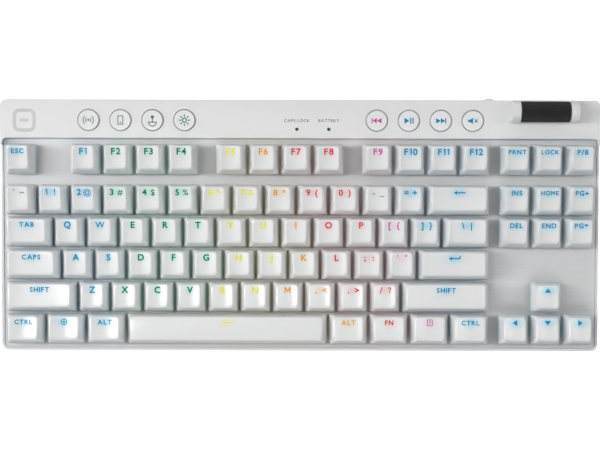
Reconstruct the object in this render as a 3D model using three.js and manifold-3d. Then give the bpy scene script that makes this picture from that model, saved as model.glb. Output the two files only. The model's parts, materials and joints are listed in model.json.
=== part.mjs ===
// A tenkeyless mechanical keyboard with a media strip, a volume roller, a stowed wireless receiver
// and two-step tilt feet. Millimetres. +X is to the typist's right, +Y away from the typist, +Z up.
// The origin is the middle of the footprint, on the surface that the rubber pads stand on.

import * as THREE from "three";
import { mergeVertices } from "three/addons/utils/BufferGeometryUtils.js";
import Module from "manifold-3d";

const wasm = await Module();
wasm.setup();

// ---------------------------------------------------------------- driving dimensions

// Clearances: between parts that touch, between parts that slide, and around a switch in its hole.
const SEAT_GAP = 0.3;
const SLIDE_GAP = 0.3;
const SWITCH_GAP = 0.2;
const OVERSHOOT = 40; // how far a cutting block runs past what it cuts
const EMBED = 0.5; // how far joined solids run into each other
const ROUND_SIDES = 20;
const PIN_SIDES = 12;
const CORNER_STEPS = 3;

// The key field.
const UNIT = 19.05;
const FIELD_WIDTH = 18.25; // in key units
const FIELD_DEPTH = 6.25;
const KEY_GAP = 1.05;
const KEY_STAND = 5; // from the deck to the skirt of a key at rest
const KEY_WALL = 1.4;
const KEY_CROWN = 1.6;
const KEY_CORNER = 1.6;
const KEY_SIDE_SLOPE = 2.85; // how much each side leans in from skirt to top
const KEY_FRONT_SLOPE = 3.4;
const KEY_REAR_SLOPE = 1.4;
const WEB_WIDTH = 5;
const WEB_HEIGHT = 1;

// The plate, the circuit board and the switches.
const PLATE_THICKNESS = 1.5;
const PLATE_CORNER = 2.2;
const SIDE_MARGIN = 1.85; // from the key field to the edge of the plate's opening
const FRONT_MARGIN = 2.55;
const REAR_MARGIN = 2.85;
const BOARD_DROP = 5; // from the deck to the board's top
const BOARD_THICKNESS = 1.6;
const BOARD_REAR_MARGIN = 2;
const SWITCH_HOLE = 14;
const SWITCH_LIP = 0.5;
const SWITCH_TOP = 11;
const SWITCH_RISE = 6;
const SWITCH_WELL = 6.6;
const SLIDER = 6;
const SLIDER_DEPTH = 1.5; // how far a key at rest reaches into its switch

// The case: a wedge of two shells, widest at the top of the bevel round its underside.
const RAIL = 2.2;
const RAIL_RISE = 0.4;
const LEDGE_CLEARANCE = 0.6; // from the ledge under the plate to the nearest switch
const STRIP_RISE = 4.6;
const STRIP_THICKNESS = 2.2;
const CASE_CORNER = 4;
const CASE_BEVEL = 3;
const CASE_WALL = 2.2;
const CASE_FLOOR = 2;
const SIDE_DRAFT = 1.2; // how much each side leans in over the draft height
const REAR_DRAFT = 1.8;
const DRAFT_HEIGHT = 24;
const DECK_TILT = THREE.MathUtils.degToRad(2.5);
const PARTING = -6.5; // the seam between the shells, from the deck
const POST_RADIUS = 3;
const FRONT_POSTS = { inset: 25, spread: 150 };
const REAR_POSTS = { inset: 50, spread: 95 };

// The battery, which with the receiver sets how high the deck stands.
const BATTERY = { width: 110, depth: 46, height: 5, y: 16 };
const HEADROOM = 0.6; // at least, between what lies under the board and the board

// The media strip's round buttons, its two indicator lights and the volume roller.
const BUTTON_RADIUS = 6.1;
const BUTTON_GAP = 0.35;
const BUTTON_PROUD = 0.9;
const BUTTON_FLANGE = 1.1;
const BUTTON_FLANGE_THICKNESS = 1.6;
const BUTTON_SPACE = 4.4; // between the flanges of two neighbours
const BUTTON_INSET = 1.1; // from the strip's front wall to a flange
const BUTTON_REAR_SPACE = 2.6; // from a flange to the rear wall, for the power slider
const LEFT_BUTTONS_INSET = 53.4; // from the case's side to the first button of the group
const RIGHT_BUTTONS_SPACE = 14.2; // from the group's last flange to the roller's cradle
const LIGHT_RADIUS = 0.9;
const LIGHT_INSET = 5.4;
const LIGHTS = [-2, 16.8];
const LIGHT_BAR = 1.2;
const ROLLER_RADIUS = 6;
const ROLLER_LENGTH = 28.6;
const ROLLER_INSET = 34.9;
const ROLLER_SETBACK = 1.2;
const ROLLER_RISE = 4.4; // from the strip's top to the roller's axis
const ROLLER_CLEARANCE = 0.6;
const PIN_RADIUS = 1.3;
const PIN_LENGTH = 3;
const PILLAR_LIP = 0.3; // how much bigger the pillars are than the roller
const PILLAR_LENGTH = 5.6;
const TROUGH_WALL = 1.4;

// What the rear wall holds.
const USB_X = -110;
const USB_WIDTH = 9;
const USB_HEIGHT = 3.3;
const USB_DEPTH = 7.4;
const USB_SHELL = 0.35;
const USB_TONGUE_INSET = 1.2;
const USB_SETBACK = 0.8;
const USB_OPENING_MARGIN = { side: 2, top: 0.95 };
const POWER_SPACE = 0.6; // from the last button's flange to the slider's knob
const POWER_RISE = 3.7; // from the board to the middle of the slider
const POWER_KNOB = 5;
const POWER_KNOB_HEIGHT = 2.8;
const POWER_TRAVEL = 3.5;
const POWER_LIP = { side: 2.6, top: 1 };
const POWER_LIP_THICKNESS = 1.2;
const KNOB_SETBACK = 0.3;
const RECEIVER_X = 86;
const RECEIVER_HEAD = { width: 14.5, length: 6.5, height: 5.7 };
const RECEIVER_PLUG = { width: 12, length: 12.1, height: 4.5 };
const RECEIVER_LIFT = 0.7; // from the floor to the sleeve
const RECEIVER_SETBACK = 0.5;
const SLEEVE_WALL = 0.9;

// The underside: pads, tilt feet and the wells that they fold into.
const PAD_STAND = 1; // the pads lift the case this far
const PAD_RECESS = 0.5;
const PAD_DEPTH = 8;
const PAD_CORNER = 2.6;
const FRONT_PAD = { length: 70, sideInset: 54, inset: 10 };
const REAR_PAD = { length: 46, sideInset: 114, inset: 9 };
const FOOT_INSET = 44;
const FOOT_HINGE_INSET = 8;
const FOOT_THICKNESS = 4;
const HIGH_FOOT = { width: 46, reach: 22 };
const LOW_FOOT = { width: 26, reach: 13 };
const FOOT_PIN_RADIUS = 1.2;
const FOOT_PIN_LENGTH = 1.6;
const WELL_WALL = 1.6;

// Each row's place in key units from the front row, its keys' height at the middle of the top, the
// tilt of that top, and its keys as [name, first unit, width in units, how many].
const ROWS = [
  {
    place: 5.25,
    height: 9.9,
    tilt: 8,
    keys: [
      ["escape_key", 0, 1, 1],
      ["function_keys_f1_to_f4", 2, 1, 4],
      ["function_keys_f5_to_f8", 6.5, 1, 4],
      ["function_keys_f9_to_f12", 11, 1, 4],
      ["print_lock_pause_keys", 15.25, 1, 3],
    ],
  },
  {
    place: 4,
    height: 9.9,
    tilt: 8,
    keys: [
      ["number_keys_left_hand", 0, 1, 6],
      ["number_keys_right_hand", 6, 1, 7],
      ["backspace_key", 13, 2, 1],
      ["insert_home_page_up_keys", 15.25, 1, 3],
    ],
  },
  {
    place: 3,
    height: 9.1,
    tilt: 5,
    keys: [
      ["tab_key", 0, 1.5, 1],
      ["upper_letters_left_hand", 1.5, 1, 5],
      ["upper_letters_right_hand", 6.5, 1, 7],
      ["backslash_key", 13.5, 1.5, 1],
      ["delete_end_page_down_keys", 15.25, 1, 3],
    ],
  },
  {
    place: 2,
    height: 8.7,
    tilt: 1,
    keys: [
      ["caps_lock_key", 0, 1.75, 1],
      ["home_letters_left_hand", 1.75, 1, 5],
      ["home_letters_right_hand", 6.75, 1, 6],
      ["enter_key", 12.75, 2.25, 1],
    ],
  },
  {
    place: 1,
    height: 8.8,
    tilt: -4,
    keys: [
      ["left_shift_key", 0, 2.25, 1],
      ["lower_letters_left_hand", 2.25, 1, 5],
      ["lower_letters_right_hand", 7.25, 1, 5],
      ["right_shift_key", 12.25, 2.75, 1],
      ["up_arrow_key", 16.25, 1, 1],
    ],
  },
  {
    place: 0,
    height: 9,
    tilt: -6,
    keys: [
      ["left_control_key", 0, 1.25, 1],
      ["left_system_key", 1.25, 1.25, 1],
      ["left_alt_key", 2.5, 1.25, 1],
      ["space_bar", 3.75, 6.25, 1],
      ["right_alt_key", 10, 1.25, 1],
      ["fn_key", 11.25, 1.25, 1],
      ["menu_key", 12.5, 1.25, 1],
      ["right_control_key", 13.75, 1.25, 1],
      ["left_arrow_key", 15.25, 1, 1],
      ["down_arrow_key", 16.25, 1, 1],
      ["right_arrow_key", 17.25, 1, 1],
    ],
  },
];

// ---------------------------------------------------------------- what follows from them

const deckSide = (FIELD_WIDTH * UNIT) / 2 + SIDE_MARGIN;
const deckDepth = FRONT_MARGIN + FIELD_DEPTH * UNIT + REAR_MARGIN;
const flangeRadius = BUTTON_RADIUS + BUTTON_FLANGE;
const buttonSpacing = 2 * flangeRadius + BUTTON_SPACE;
const stripInside = BUTTON_INSET + 2 * flangeRadius + BUTTON_REAR_SPACE;
const stripDepth = CASE_WALL + stripInside + CASE_WALL + REAR_DRAFT;
const caseSide = deckSide + RAIL;
const caseDepth = RAIL + deckDepth + stripDepth;
const caseRear = caseDepth / 2;
const deckFront = -caseRear + RAIL;
const deckRear = deckFront + deckDepth;
const frontRow = deckFront + FRONT_MARGIN + UNIT / 2;
const ledge = SIDE_MARGIN + (UNIT - SWITCH_HOLE) / 2 - LEDGE_CLEARANCE;
const insideHalf = deckSide - ledge;
const insideRear = caseRear - REAR_DRAFT - CASE_WALL;
const boardRear = insideRear - BOARD_REAR_MARGIN;
const stripCeiling = STRIP_RISE - STRIP_THICKNESS;
const floor = PAD_STAND + CASE_FLOOR;

const receiverBottom = floor + RECEIVER_LIFT + SLIDE_GAP;
const receiverBack = caseRear - RECEIVER_SETBACK;
const sleeveTop = receiverBottom + RECEIVER_HEAD.height + SLIDE_GAP + SLEEVE_WALL;
const sleeveEnd = receiverBack - RECEIVER_HEAD.length - RECEIVER_PLUG.length - SLIDE_GAP;

// How high the deck has to stand, over the middle, for the board to clear a thing that lies in the
// bottom case, given the place of its front end and the height of its top.
function deckOver(front, top) {
  const board = (BOARD_DROP + BOARD_THICKNESS) / Math.cos(DECK_TILT);
  return top + HEADROOM + board - front * Math.tan(DECK_TILT);
}

const deckHeight = Math.max(
  deckOver(BATTERY.y - BATTERY.depth / 2, floor + SEAT_GAP + BATTERY.height),
  deckOver(sleeveEnd - SLEEVE_WALL, sleeveTop),
);

// The height of a point over the table, given its place along Y and its rise from the deck.
function heightAt(y, rise) {
  return deckHeight + y * Math.tan(DECK_TILT) + rise / Math.cos(DECK_TILT);
}

const buttonRow = deckRear + CASE_WALL + BUTTON_INSET + flangeRadius;
const lightRow = deckRear + LIGHT_INSET;
const rollerX = caseSide - ROLLER_INSET;
const rollerY = caseRear - REAR_DRAFT - ROLLER_SETBACK - ROLLER_RADIUS;
const rollerZ = heightAt(rollerY, STRIP_RISE) + ROLLER_RISE;
const pillarRadius = ROLLER_RADIUS + PILLAR_LIP;
const pillarNear = ROLLER_LENGTH / 2 + SLIDE_GAP;
const pillarFar = pillarNear + PILLAR_LENGTH;
const usbFace = insideRear - USB_SETBACK;
const usbBottom = heightAt(usbFace, -BOARD_DROP) + SEAT_GAP;
const powerZ = heightAt(insideRear, -BOARD_DROP) + POWER_RISE;
const hingeY = caseRear - FOOT_HINGE_INSET;
const hingeZ = PAD_STAND + SLIDE_GAP + FOOT_THICKNESS / 2;
const footPlaces = [
  ["left", FOOT_INSET - caseSide],
  ["right", caseSide - FOOT_INSET],
];

const leftButtons = LEFT_BUTTONS_INSET - caseSide;
const lastFlange = rollerX - pillarFar - RIGHT_BUTTONS_SPACE;
const rightButtons = lastFlange - flangeRadius - 3 * buttonSpacing;
const powerX = lastFlange + POWER_SPACE + POWER_KNOB / 2;
const buttonPlaces = [
  ["wireless_button", leftButtons],
  ["pairing_button", leftButtons + buttonSpacing],
  ["game_mode_button", leftButtons + 2 * buttonSpacing],
  ["brightness_button", leftButtons + 3 * buttonSpacing],
  ["previous_track_button", rightButtons],
  ["play_pause_button", rightButtons + buttonSpacing],
  ["next_track_button", rightButtons + 2 * buttonSpacing],
  ["mute_button", rightButtons + 3 * buttonSpacing],
];

// ---------------------------------------------------------------- materials

function plastic(color, roughness) {
  return new THREE.MeshStandardMaterial({ color, roughness, metalness: 0 });
}

const whiteShell = plastic(0xe6e6e6, 0.5);
const keyWhite = plastic(0xededee, 0.45);
const aluminium = new THREE.MeshStandardMaterial({
  color: 0xb4b6b8,
  roughness: 0.45,
  metalness: 0.9,
});
const boardBlack = plastic(0x1d2022, 0.6);
const batteryGrey = plastic(0x5c6064, 0.5);
const connectorSteel = new THREE.MeshStandardMaterial({
  color: 0xb8babd,
  roughness: 0.3,
  metalness: 1,
});
const rollerBlack = plastic(0x262626, 0.7);
const padGrey = plastic(0x8b8d90, 0.85);
const lightPipe = plastic(0x5a5a5c, 0.3);
const sliderGrey = plastic(0x9ea1a4, 0.5);

// ---------------------------------------------------------------- solids

const deckMatrix = new THREE.Matrix4()
  .makeTranslation(0, 0, deckHeight)
  .multiply(new THREE.Matrix4().makeRotationX(DECK_TILT));

// A closed three.js geometry as a manifold-3d solid, moved by a matrix if one is given.
function solidOf(geometry, matrix) {
  const loose = geometry.index ? geometry.toNonIndexed() : geometry;
  const bare = new THREE.BufferGeometry();
  bare.setAttribute("position", loose.getAttribute("position").clone());
  if (matrix) bare.applyMatrix4(matrix);
  const merged = mergeVertices(bare, 1e-4);
  const mesh = new wasm.Mesh({
    numProp: 3,
    vertProperties: merged.attributes.position.array,
    triVerts: new Uint32Array(merged.index.array),
  });
  return new wasm.Manifold(mesh);
}

// A manifold-3d solid as a flat-shaded three.js geometry.
function geometryOf(solid) {
  const mesh = solid.getMesh();
  const indexed = new THREE.BufferGeometry();
  indexed.setAttribute("position", new THREE.BufferAttribute(mesh.vertProperties, 3));
  indexed.setIndex(new THREE.BufferAttribute(mesh.triVerts, 1));
  const geometry = indexed.toNonIndexed();
  geometry.computeVertexNormals();
  return geometry;
}

// A block between two corners.
function block([x0, y0, z0], [x1, y1, z1], matrix) {
  const box = new THREE.BoxGeometry(x1 - x0, y1 - y0, z1 - z0);
  box.translate((x0 + x1) / 2, (y0 + y1) / 2, (z0 + z1) / 2);
  return solidOf(box, matrix);
}

// A cylinder along Z between two heights.
function post(radius, x, y, z0, z1, sides, matrix) {
  const cylinder = new THREE.CylinderGeometry(radius, radius, z1 - z0, sides);
  cylinder.rotateX(Math.PI / 2).translate(x, y, (z0 + z1) / 2);
  return solidOf(cylinder, matrix);
}

// A cylinder along X between two places.
function axle(radius, x0, x1, y, z, sides) {
  const cylinder = new THREE.CylinderGeometry(radius, radius, x1 - x0, sides);
  cylinder.rotateZ(Math.PI / 2).translate((x0 + x1) / 2, y, z);
  return solidOf(cylinder);
}

// A ring of points anticlockwise round a rectangle with rounded corners, on a plane that tilts about X.
function ring(width, depth, radius, steps, x, y, z, tilt = 0) {
  const points = [];
  for (let corner = 0; corner < 4; corner++) {
    const sideX = corner === 0 || corner === 3 ? 1 : -1;
    const sideY = corner < 2 ? 1 : -1;
    for (let step = 0; step <= steps; step++) {
      const angle = ((corner + (steps ? step / steps : 0.5)) * Math.PI) / 2;
      const px = sideX * (width / 2 - radius) + radius * Math.cos(angle);
      const py = sideY * (depth / 2 - radius) + radius * Math.sin(angle);
      points.push([x + px, y + py, z + py * Math.tan(tilt)]);
    }
  }
  return points;
}

// A closed body through rings with equally many points, the lowest ring first.
function loft(rings, matrix) {
  const count = rings[0].length;
  const last = (rings.length - 1) * count;
  const index = [];
  for (let lower = 0; lower < last; lower += count) {
    for (let i = 0; i < count; i++) {
      const next = (i + 1) % count;
      index.push(lower + i, lower + next, lower + count + next);
      index.push(lower + i, lower + count + next, lower + count + i);
    }
  }
  for (let i = 1; i + 1 < count; i++) {
    index.push(0, i + 1, i);
    index.push(last, last + i, last + i + 1);
  }
  const geometry = new THREE.BufferGeometry();
  geometry.setAttribute("position", new THREE.Float32BufferAttribute(rings.flat(2), 3));
  geometry.setIndex(index);
  return solidOf(geometry, matrix);
}

// ---------------------------------------------------------------- the key field

// Every key: its row, its name or block, its place on the deck and its width in units.
function layOutKeys() {
  const keys = [];
  for (const row of ROWS) {
    for (const [name, first, width, count] of row.keys) {
      for (let i = 0; i < count; i++) {
        const middle = first + (i + 0.5) * width - FIELD_WIDTH / 2;
        const y = frontRow + row.place * UNIT;
        keys.push({ name, row, width, x: middle * UNIT, y, joined: i > 0 });
      }
    }
  }
  return keys;
}

const keys = layOutKeys();

// One keycap with the slider under it, its skirt at z = 0: a hollow cap that narrows upwards, more
// at the front than at the rear.
function keycap(key) {
  const { height } = key.row;
  const tilt = THREE.MathUtils.degToRad(key.row.tilt);
  const width = key.width * UNIT - KEY_GAP;
  const depth = UNIT - KEY_GAP;
  const topWidth = width - 2 * KEY_SIDE_SLOPE;
  const topDepth = depth - KEY_FRONT_SLOPE - KEY_REAR_SLOPE;
  const shift = (KEY_FRONT_SLOPE - KEY_REAR_SLOPE) / 2;
  const outer = loft([
    ring(width, depth, KEY_CORNER, 1, key.x, key.y, 0),
    ring(topWidth, topDepth, KEY_CORNER, 1, key.x, key.y + shift, height, tilt),
  ]);
  const wall = 2 * KEY_WALL;
  const ceiling = height - KEY_CROWN;
  const share = ceiling / height;
  const insideTop = width - 2 * KEY_SIDE_SLOPE * share - wall;
  const insideDepth = depth - (KEY_FRONT_SLOPE + KEY_REAR_SLOPE) * share - wall;
  const hollow = loft([
    ring(width - wall, depth - wall, 0, 0, key.x, key.y, -1),
    ring(width - wall, depth - wall, 0, 0, key.x, key.y, 0),
    ring(insideTop, insideDepth, 0, 0, key.x, key.y + shift * share, ceiling, tilt),
  ]);
  const half = SLIDER / 2;
  const sliderFoot = SWITCH_RISE - KEY_STAND - SLIDER_DEPTH;
  const slider = block(
    [key.x - half, key.y - half, sliderFoot],
    [key.x + half, key.y + half, ceiling + KEY_CROWN / 2],
  );
  return outer.subtract(hollow).add(slider);
}

// The low web that joins a key to its left-hand neighbour in a block of keys.
function web(key) {
  const x = key.x - (key.width * UNIT) / 2;
  const reach = KEY_GAP / 2 + KEY_WALL / 2;
  return block(
    [x - reach, key.y - WEB_WIDTH / 2, 0],
    [x + reach, key.y + WEB_WIDTH / 2, WEB_HEIGHT],
  );
}

function buildKeys(deck) {
  const names = [...new Set(keys.map((key) => key.name))];
  for (const name of names) {
    const members = keys.filter((key) => key.name === name);
    let solid = keycap(members[0]);
    for (const key of members.slice(1)) solid = solid.add(keycap(key)).add(web(key));
    addPart(deck, name, solid, keyWhite).position.z = KEY_STAND;
  }
}

// ---------------------------------------------------------------- plate, board and switches

// The aluminium plate: a sheet with a square hole for each switch.
function switchPlate() {
  const width = 2 * (deckSide - SEAT_GAP);
  const depth = deckDepth - 2 * SEAT_GAP;
  const size = [width, depth, PLATE_CORNER, CORNER_STEPS, 0, (deckFront + deckRear) / 2];
  let plate = loft([ring(...size, -PLATE_THICKNESS), ring(...size, 0)]);
  const half = SWITCH_HOLE / 2;
  for (const key of keys) {
    const low = [key.x - half, key.y - half, -OVERSHOOT];
    plate = plate.subtract(block(low, [key.x + half, key.y + half, OVERSHOOT]));
  }
  return plate;
}

// One switch housing on the board, with the well that the key's slider goes down into.
function switchHousing(key) {
  const body = SWITCH_HOLE - 2 * SWITCH_GAP;
  const shoulder = SWITCH_HOLE + 2 * SWITCH_LIP;
  const housing = loft([
    ring(body, body, 0, 0, key.x, key.y, -BOARD_DROP - EMBED),
    ring(body, body, 0, 0, key.x, key.y, SEAT_GAP),
    ring(shoulder, shoulder, 0, 0, key.x, key.y, SEAT_GAP),
    ring(SWITCH_TOP, SWITCH_TOP, 0, 0, key.x, key.y, SWITCH_RISE),
  ]);
  const half = SLIDER / 2 + SLIDE_GAP;
  const well = block(
    [key.x - half, key.y - half, SWITCH_RISE - SWITCH_WELL],
    [key.x + half, key.y + half, OVERSHOOT],
  );
  return housing.subtract(well);
}

// The circuit board with every switch housing soldered to it.
function switchBoard() {
  const front = deckFront + ledge + SEAT_GAP;
  const depth = boardRear - front;
  const width = 2 * (insideHalf - SEAT_GAP);
  const size = [width, depth, PLATE_CORNER, CORNER_STEPS, 0, front + depth / 2];
  let board = loft([ring(...size, -BOARD_DROP - BOARD_THICKNESS), ring(...size, -BOARD_DROP)]);
  for (const key of keys) board = board.add(switchHousing(key));
  return board;
}

// ---------------------------------------------------------------- the case

// The whole outside of the case, before the deck is cut into it.
function caseBlank() {
  const widest = PAD_STAND + CASE_BEVEL;
  const top = DRAFT_HEIGHT + OVERSHOOT;
  const lean = (top - widest) / (DRAFT_HEIGHT - widest);
  const topWidth = 2 * (caseSide - SIDE_DRAFT * lean);
  const topDepth = caseDepth - (SIDE_DRAFT + REAR_DRAFT) * lean;
  const topY = ((SIDE_DRAFT - REAR_DRAFT) / 2) * lean;
  const bevel = 2 * CASE_BEVEL;
  const corner = [CASE_CORNER, CORNER_STEPS, 0];
  return loft([
    ring(2 * caseSide - bevel, caseDepth - bevel, ...corner, 0, PAD_STAND),
    ring(2 * caseSide, caseDepth, ...corner, 0, widest),
    ring(topWidth, topDepth, ...corner, topY, top),
  ]);
}

// A block in the deck's own frame.
function deckBlock(low, high) {
  return block(low, high, deckMatrix);
}

// An upright prism with the plate's rounded corners, in the deck's own frame.
function deckPrism(halfWidth, front, rear, low, high) {
  const corner = PLATE_CORNER + SEAT_GAP;
  const size = [2 * halfWidth, rear - front, corner, CORNER_STEPS, 0, (front + rear) / 2];
  return loft([ring(...size, low), ring(...size, high)], deckMatrix);
}

// The upper shell: thin rails round the plate and the raised strip behind it, hollow below.
function topCase() {
  const wide = caseSide + OVERSHOOT;
  const rear = caseRear + OVERSHOOT;
  const low = PARTING - EMBED;
  let shell = caseBlank();
  shell = shell.subtract(deckBlock([-wide, -rear, -OVERSHOOT], [wide, rear, PARTING]));
  shell = shell.subtract(deckBlock([-wide, -rear, STRIP_RISE], [wide, rear, 2 * OVERSHOOT]));
  const railEnd = deckRear - CASE_CORNER;
  shell = shell.subtract(deckBlock([-wide, -rear, RAIL_RISE], [wide, railEnd, OVERSHOOT]));
  const seat = -PLATE_THICKNESS - SEAT_GAP;
  shell = shell.subtract(deckPrism(deckSide, deckFront, deckRear, seat, OVERSHOOT));
  const pocketRear = deckRear - ledge;
  shell = shell.subtract(deckPrism(insideHalf, deckFront + ledge, pocketRear, low, EMBED));
  const beamFoot = SEAT_GAP - BOARD_DROP;
  const underBeam = [-insideHalf, pocketRear - CASE_CORNER, low];
  shell = shell.subtract(deckBlock(underBeam, [insideHalf, insideRear, beamFoot]));
  const underStrip = [-insideHalf, deckRear + CASE_WALL, low];
  shell = shell.subtract(deckBlock(underStrip, [insideHalf, insideRear, stripCeiling]));
  return withRollerCradle(shell).subtract(stripHoles()).subtract(rearSockets());
}

// The trough that the roller turns in, between the two pillars that hold its pins.
function withRollerCradle(shell) {
  const trough = ROLLER_RADIUS + ROLLER_CLEARANCE;
  const saddleFoot = STRIP_RISE + ROLLER_RISE - trough - TROUGH_WALL;
  const saddle = deckBlock(
    [rollerX - pillarFar, rollerY - trough - TROUGH_WALL, saddleFoot],
    [rollerX + pillarFar, insideRear + EMBED, stripCeiling + EMBED],
  );
  let cradle = shell.add(saddle);
  for (const [x0, x1] of [
    [rollerX - pillarFar, rollerX - pillarNear],
    [rollerX + pillarNear, rollerX + pillarFar],
  ]) {
    const foot = [x0, rollerY - pillarRadius, heightAt(rollerY, stripCeiling)];
    cradle = cradle.add(block(foot, [x1, rollerY + pillarRadius, rollerZ]));
    cradle = cradle.add(axle(pillarRadius, x0, x1, rollerY, rollerZ, ROUND_SIDES));
  }
  const bore = PIN_RADIUS + SLIDE_GAP;
  const reach = pillarNear + PIN_LENGTH;
  const troughEnds = [rollerX - pillarNear, rollerX + pillarNear];
  cradle = cradle.subtract(axle(trough, ...troughEnds, rollerY, rollerZ, ROUND_SIDES));
  const bores = axle(bore, rollerX - reach, rollerX + reach, rollerY, rollerZ, PIN_SIDES);
  return cradle.subtract(bores);
}

// The holes in the strip for the buttons and the indicator lights.
function stripHoles() {
  const heights = [stripCeiling - EMBED, STRIP_RISE + EMBED];
  const round = [BUTTON_RADIUS + BUTTON_GAP, ROUND_SIDES];
  const small = [LIGHT_RADIUS + SLIDE_GAP, PIN_SIDES];
  const holes = [
    ...buttonPlaces.map(([, x]) => [x, buttonRow, ...round]),
    ...LIGHTS.map((x) => [x, lightRow, ...small]),
  ];
  const posts = holes.map(([x, y, radius, sides]) => post(radius, x, y, ...heights, sides));
  return posts.reduce((all, one) => all.add(one)).transform(deckMatrix.elements);
}

// The recess for a cable's plug and the slot for the power slider, through the rear wall.
function rearSockets() {
  const front = insideRear - BOARD_REAR_MARGIN;
  const side = USB_WIDTH / 2 + USB_OPENING_MARGIN.side;
  const recess = block(
    [USB_X - side, front, usbBottom - USB_OPENING_MARGIN.top],
    [USB_X + side, caseRear + OVERSHOOT, usbBottom + USB_HEIGHT + USB_OPENING_MARGIN.top],
  );
  const halfSlot = POWER_KNOB_HEIGHT / 2 + SLIDE_GAP;
  const halfKnob = POWER_KNOB / 2 + SLIDE_GAP;
  const slot = block(
    [powerX - halfKnob, front, powerZ - halfSlot],
    [powerX + halfKnob + POWER_TRAVEL, caseRear + OVERSHOOT, powerZ + halfSlot],
  );
  return recess.add(slot);
}

// The lower shell: a tray with wells for the feet, a sleeve for the receiver, posts for the board
// and shallow pockets for the pads.
function bottomCase() {
  const wide = caseSide + OVERSHOOT;
  const rear = caseRear + OVERSHOOT;
  let shell = caseBlank();
  const seam = PARTING - SEAT_GAP;
  shell = shell.subtract(deckBlock([-wide, -rear, seam], [wide, rear, 2 * OVERSHOOT]));
  const wall = CASE_WALL + SIDE_DRAFT;
  const corner = [CASE_CORNER - EMBED, CORNER_STEPS, 0, 0];
  const inside = [2 * (caseSide - wall), caseDepth - 2 * wall, ...corner];
  shell = shell.subtract(loft([ring(...inside, floor), ring(...inside, OVERSHOOT)]));
  for (const [x, y] of postPlaces()) {
    const top = heightAt(y, -BOARD_DROP - BOARD_THICKNESS) - SEAT_GAP;
    shell = shell.add(post(POST_RADIUS, x, y, floor - EMBED, top - EMBED, PIN_SIDES));
  }
  for (const [, x] of footPlaces) shell = withFootWell(shell, x);
  for (const pad of padPlaces()) {
    const half = pad.length / 2 + SEAT_GAP;
    const halfDepth = PAD_DEPTH / 2 + SEAT_GAP;
    shell = shell.subtract(
      block(
        [pad.x - half, pad.y - halfDepth, -OVERSHOOT],
        [pad.x + half, pad.y + halfDepth, PAD_STAND + PAD_RECESS],
      ),
    );
  }
  return withReceiverSleeve(shell);
}

// The posts that hold the board up, three near the front and two near the rear.
function postPlaces() {
  const front = FRONT_POSTS.inset - caseRear;
  const rear = caseRear - REAR_POSTS.inset;
  return [
    [-FRONT_POSTS.spread, front],
    [0, front],
    [FRONT_POSTS.spread, front],
    [-REAR_POSTS.spread, rear],
    [REAR_POSTS.spread, rear],
  ];
}

// A well that a pair of tilt feet folds into, with sockets for the hinge pins in its side walls.
function withFootWell(shell, x) {
  const top = PAD_STAND + FOOT_THICKNESS + 2 * SLIDE_GAP;
  const rear = hingeY + FOOT_THICKNESS / 2 + 2 * SLIDE_GAP;
  const front = hingeY - HIGH_FOOT.reach - 2 * SLIDE_GAP;
  const half = HIGH_FOOT.width / 2 + SLIDE_GAP;
  const wall = half + FOOT_PIN_LENGTH + WELL_WALL;
  const box = block(
    [x - wall, front - WELL_WALL, PAD_STAND],
    [x + wall, rear + WELL_WALL, top + WELL_WALL],
  );
  const well = block([x - half, front, -OVERSHOOT], [x + half, rear, top]);
  const reach = half + FOOT_PIN_LENGTH;
  const sockets = axle(
    FOOT_PIN_RADIUS + SLIDE_GAP,
    x - reach,
    x + reach,
    hingeY,
    hingeZ,
    PIN_SIDES,
  );
  return shell.add(box).subtract(well).subtract(sockets);
}

// The sleeve that the wireless receiver is stowed in, open to the rear.
function withReceiverSleeve(shell) {
  const half = RECEIVER_HEAD.width / 2 + SLIDE_GAP;
  const low = receiverBottom - SLIDE_GAP;
  const high = sleeveTop - SLEEVE_WALL;
  const sleeve = block(
    [RECEIVER_X - half - SLEEVE_WALL, sleeveEnd - SLEEVE_WALL, floor - EMBED],
    [RECEIVER_X + half + SLEEVE_WALL, insideRear, sleeveTop],
  );
  const hollow = block([RECEIVER_X - half, sleeveEnd, low], [RECEIVER_X + half, caseDepth, high]);
  return shell.add(sleeve).subtract(hollow);
}

// ---------------------------------------------------------------- small parts

function padPlaces() {
  const places = [];
  for (const [end, pad, direction] of [
    ["front", FRONT_PAD, -1],
    ["rear", REAR_PAD, 1],
  ]) {
    const x = caseSide - pad.sideInset;
    const y = direction * (caseRear - pad.inset);
    places.push({ name: `${end}_left_pad`, length: pad.length, x: -x, y });
    places.push({ name: `${end}_right_pad`, length: pad.length, x, y });
  }
  return places;
}

function rubberPad(pad) {
  const size = [pad.length, PAD_DEPTH, PAD_CORNER, CORNER_STEPS, pad.x, pad.y];
  return loft([ring(...size, 0), ring(...size, PAD_STAND + PAD_RECESS - SEAT_GAP)]);
}

// A round button: a cap that stands proud of the strip, and a flange that keeps it in.
function roundButton(x) {
  const flangeTop = stripCeiling - SEAT_GAP;
  const top = STRIP_RISE + BUTTON_PROUD;
  const profile = [
    [0, flangeTop - BUTTON_FLANGE_THICKNESS],
    [flangeRadius, flangeTop - BUTTON_FLANGE_THICKNESS],
    [flangeRadius, flangeTop],
    [BUTTON_RADIUS, flangeTop],
    [BUTTON_RADIUS, top],
    [0, top],
  ].map(([radius, height]) => new THREE.Vector2(radius, height));
  const cap = new THREE.LatheGeometry(profile, ROUND_SIDES);
  cap.rotateX(Math.PI / 2).translate(x, buttonRow, 0);
  return solidOf(cap);
}

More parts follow.
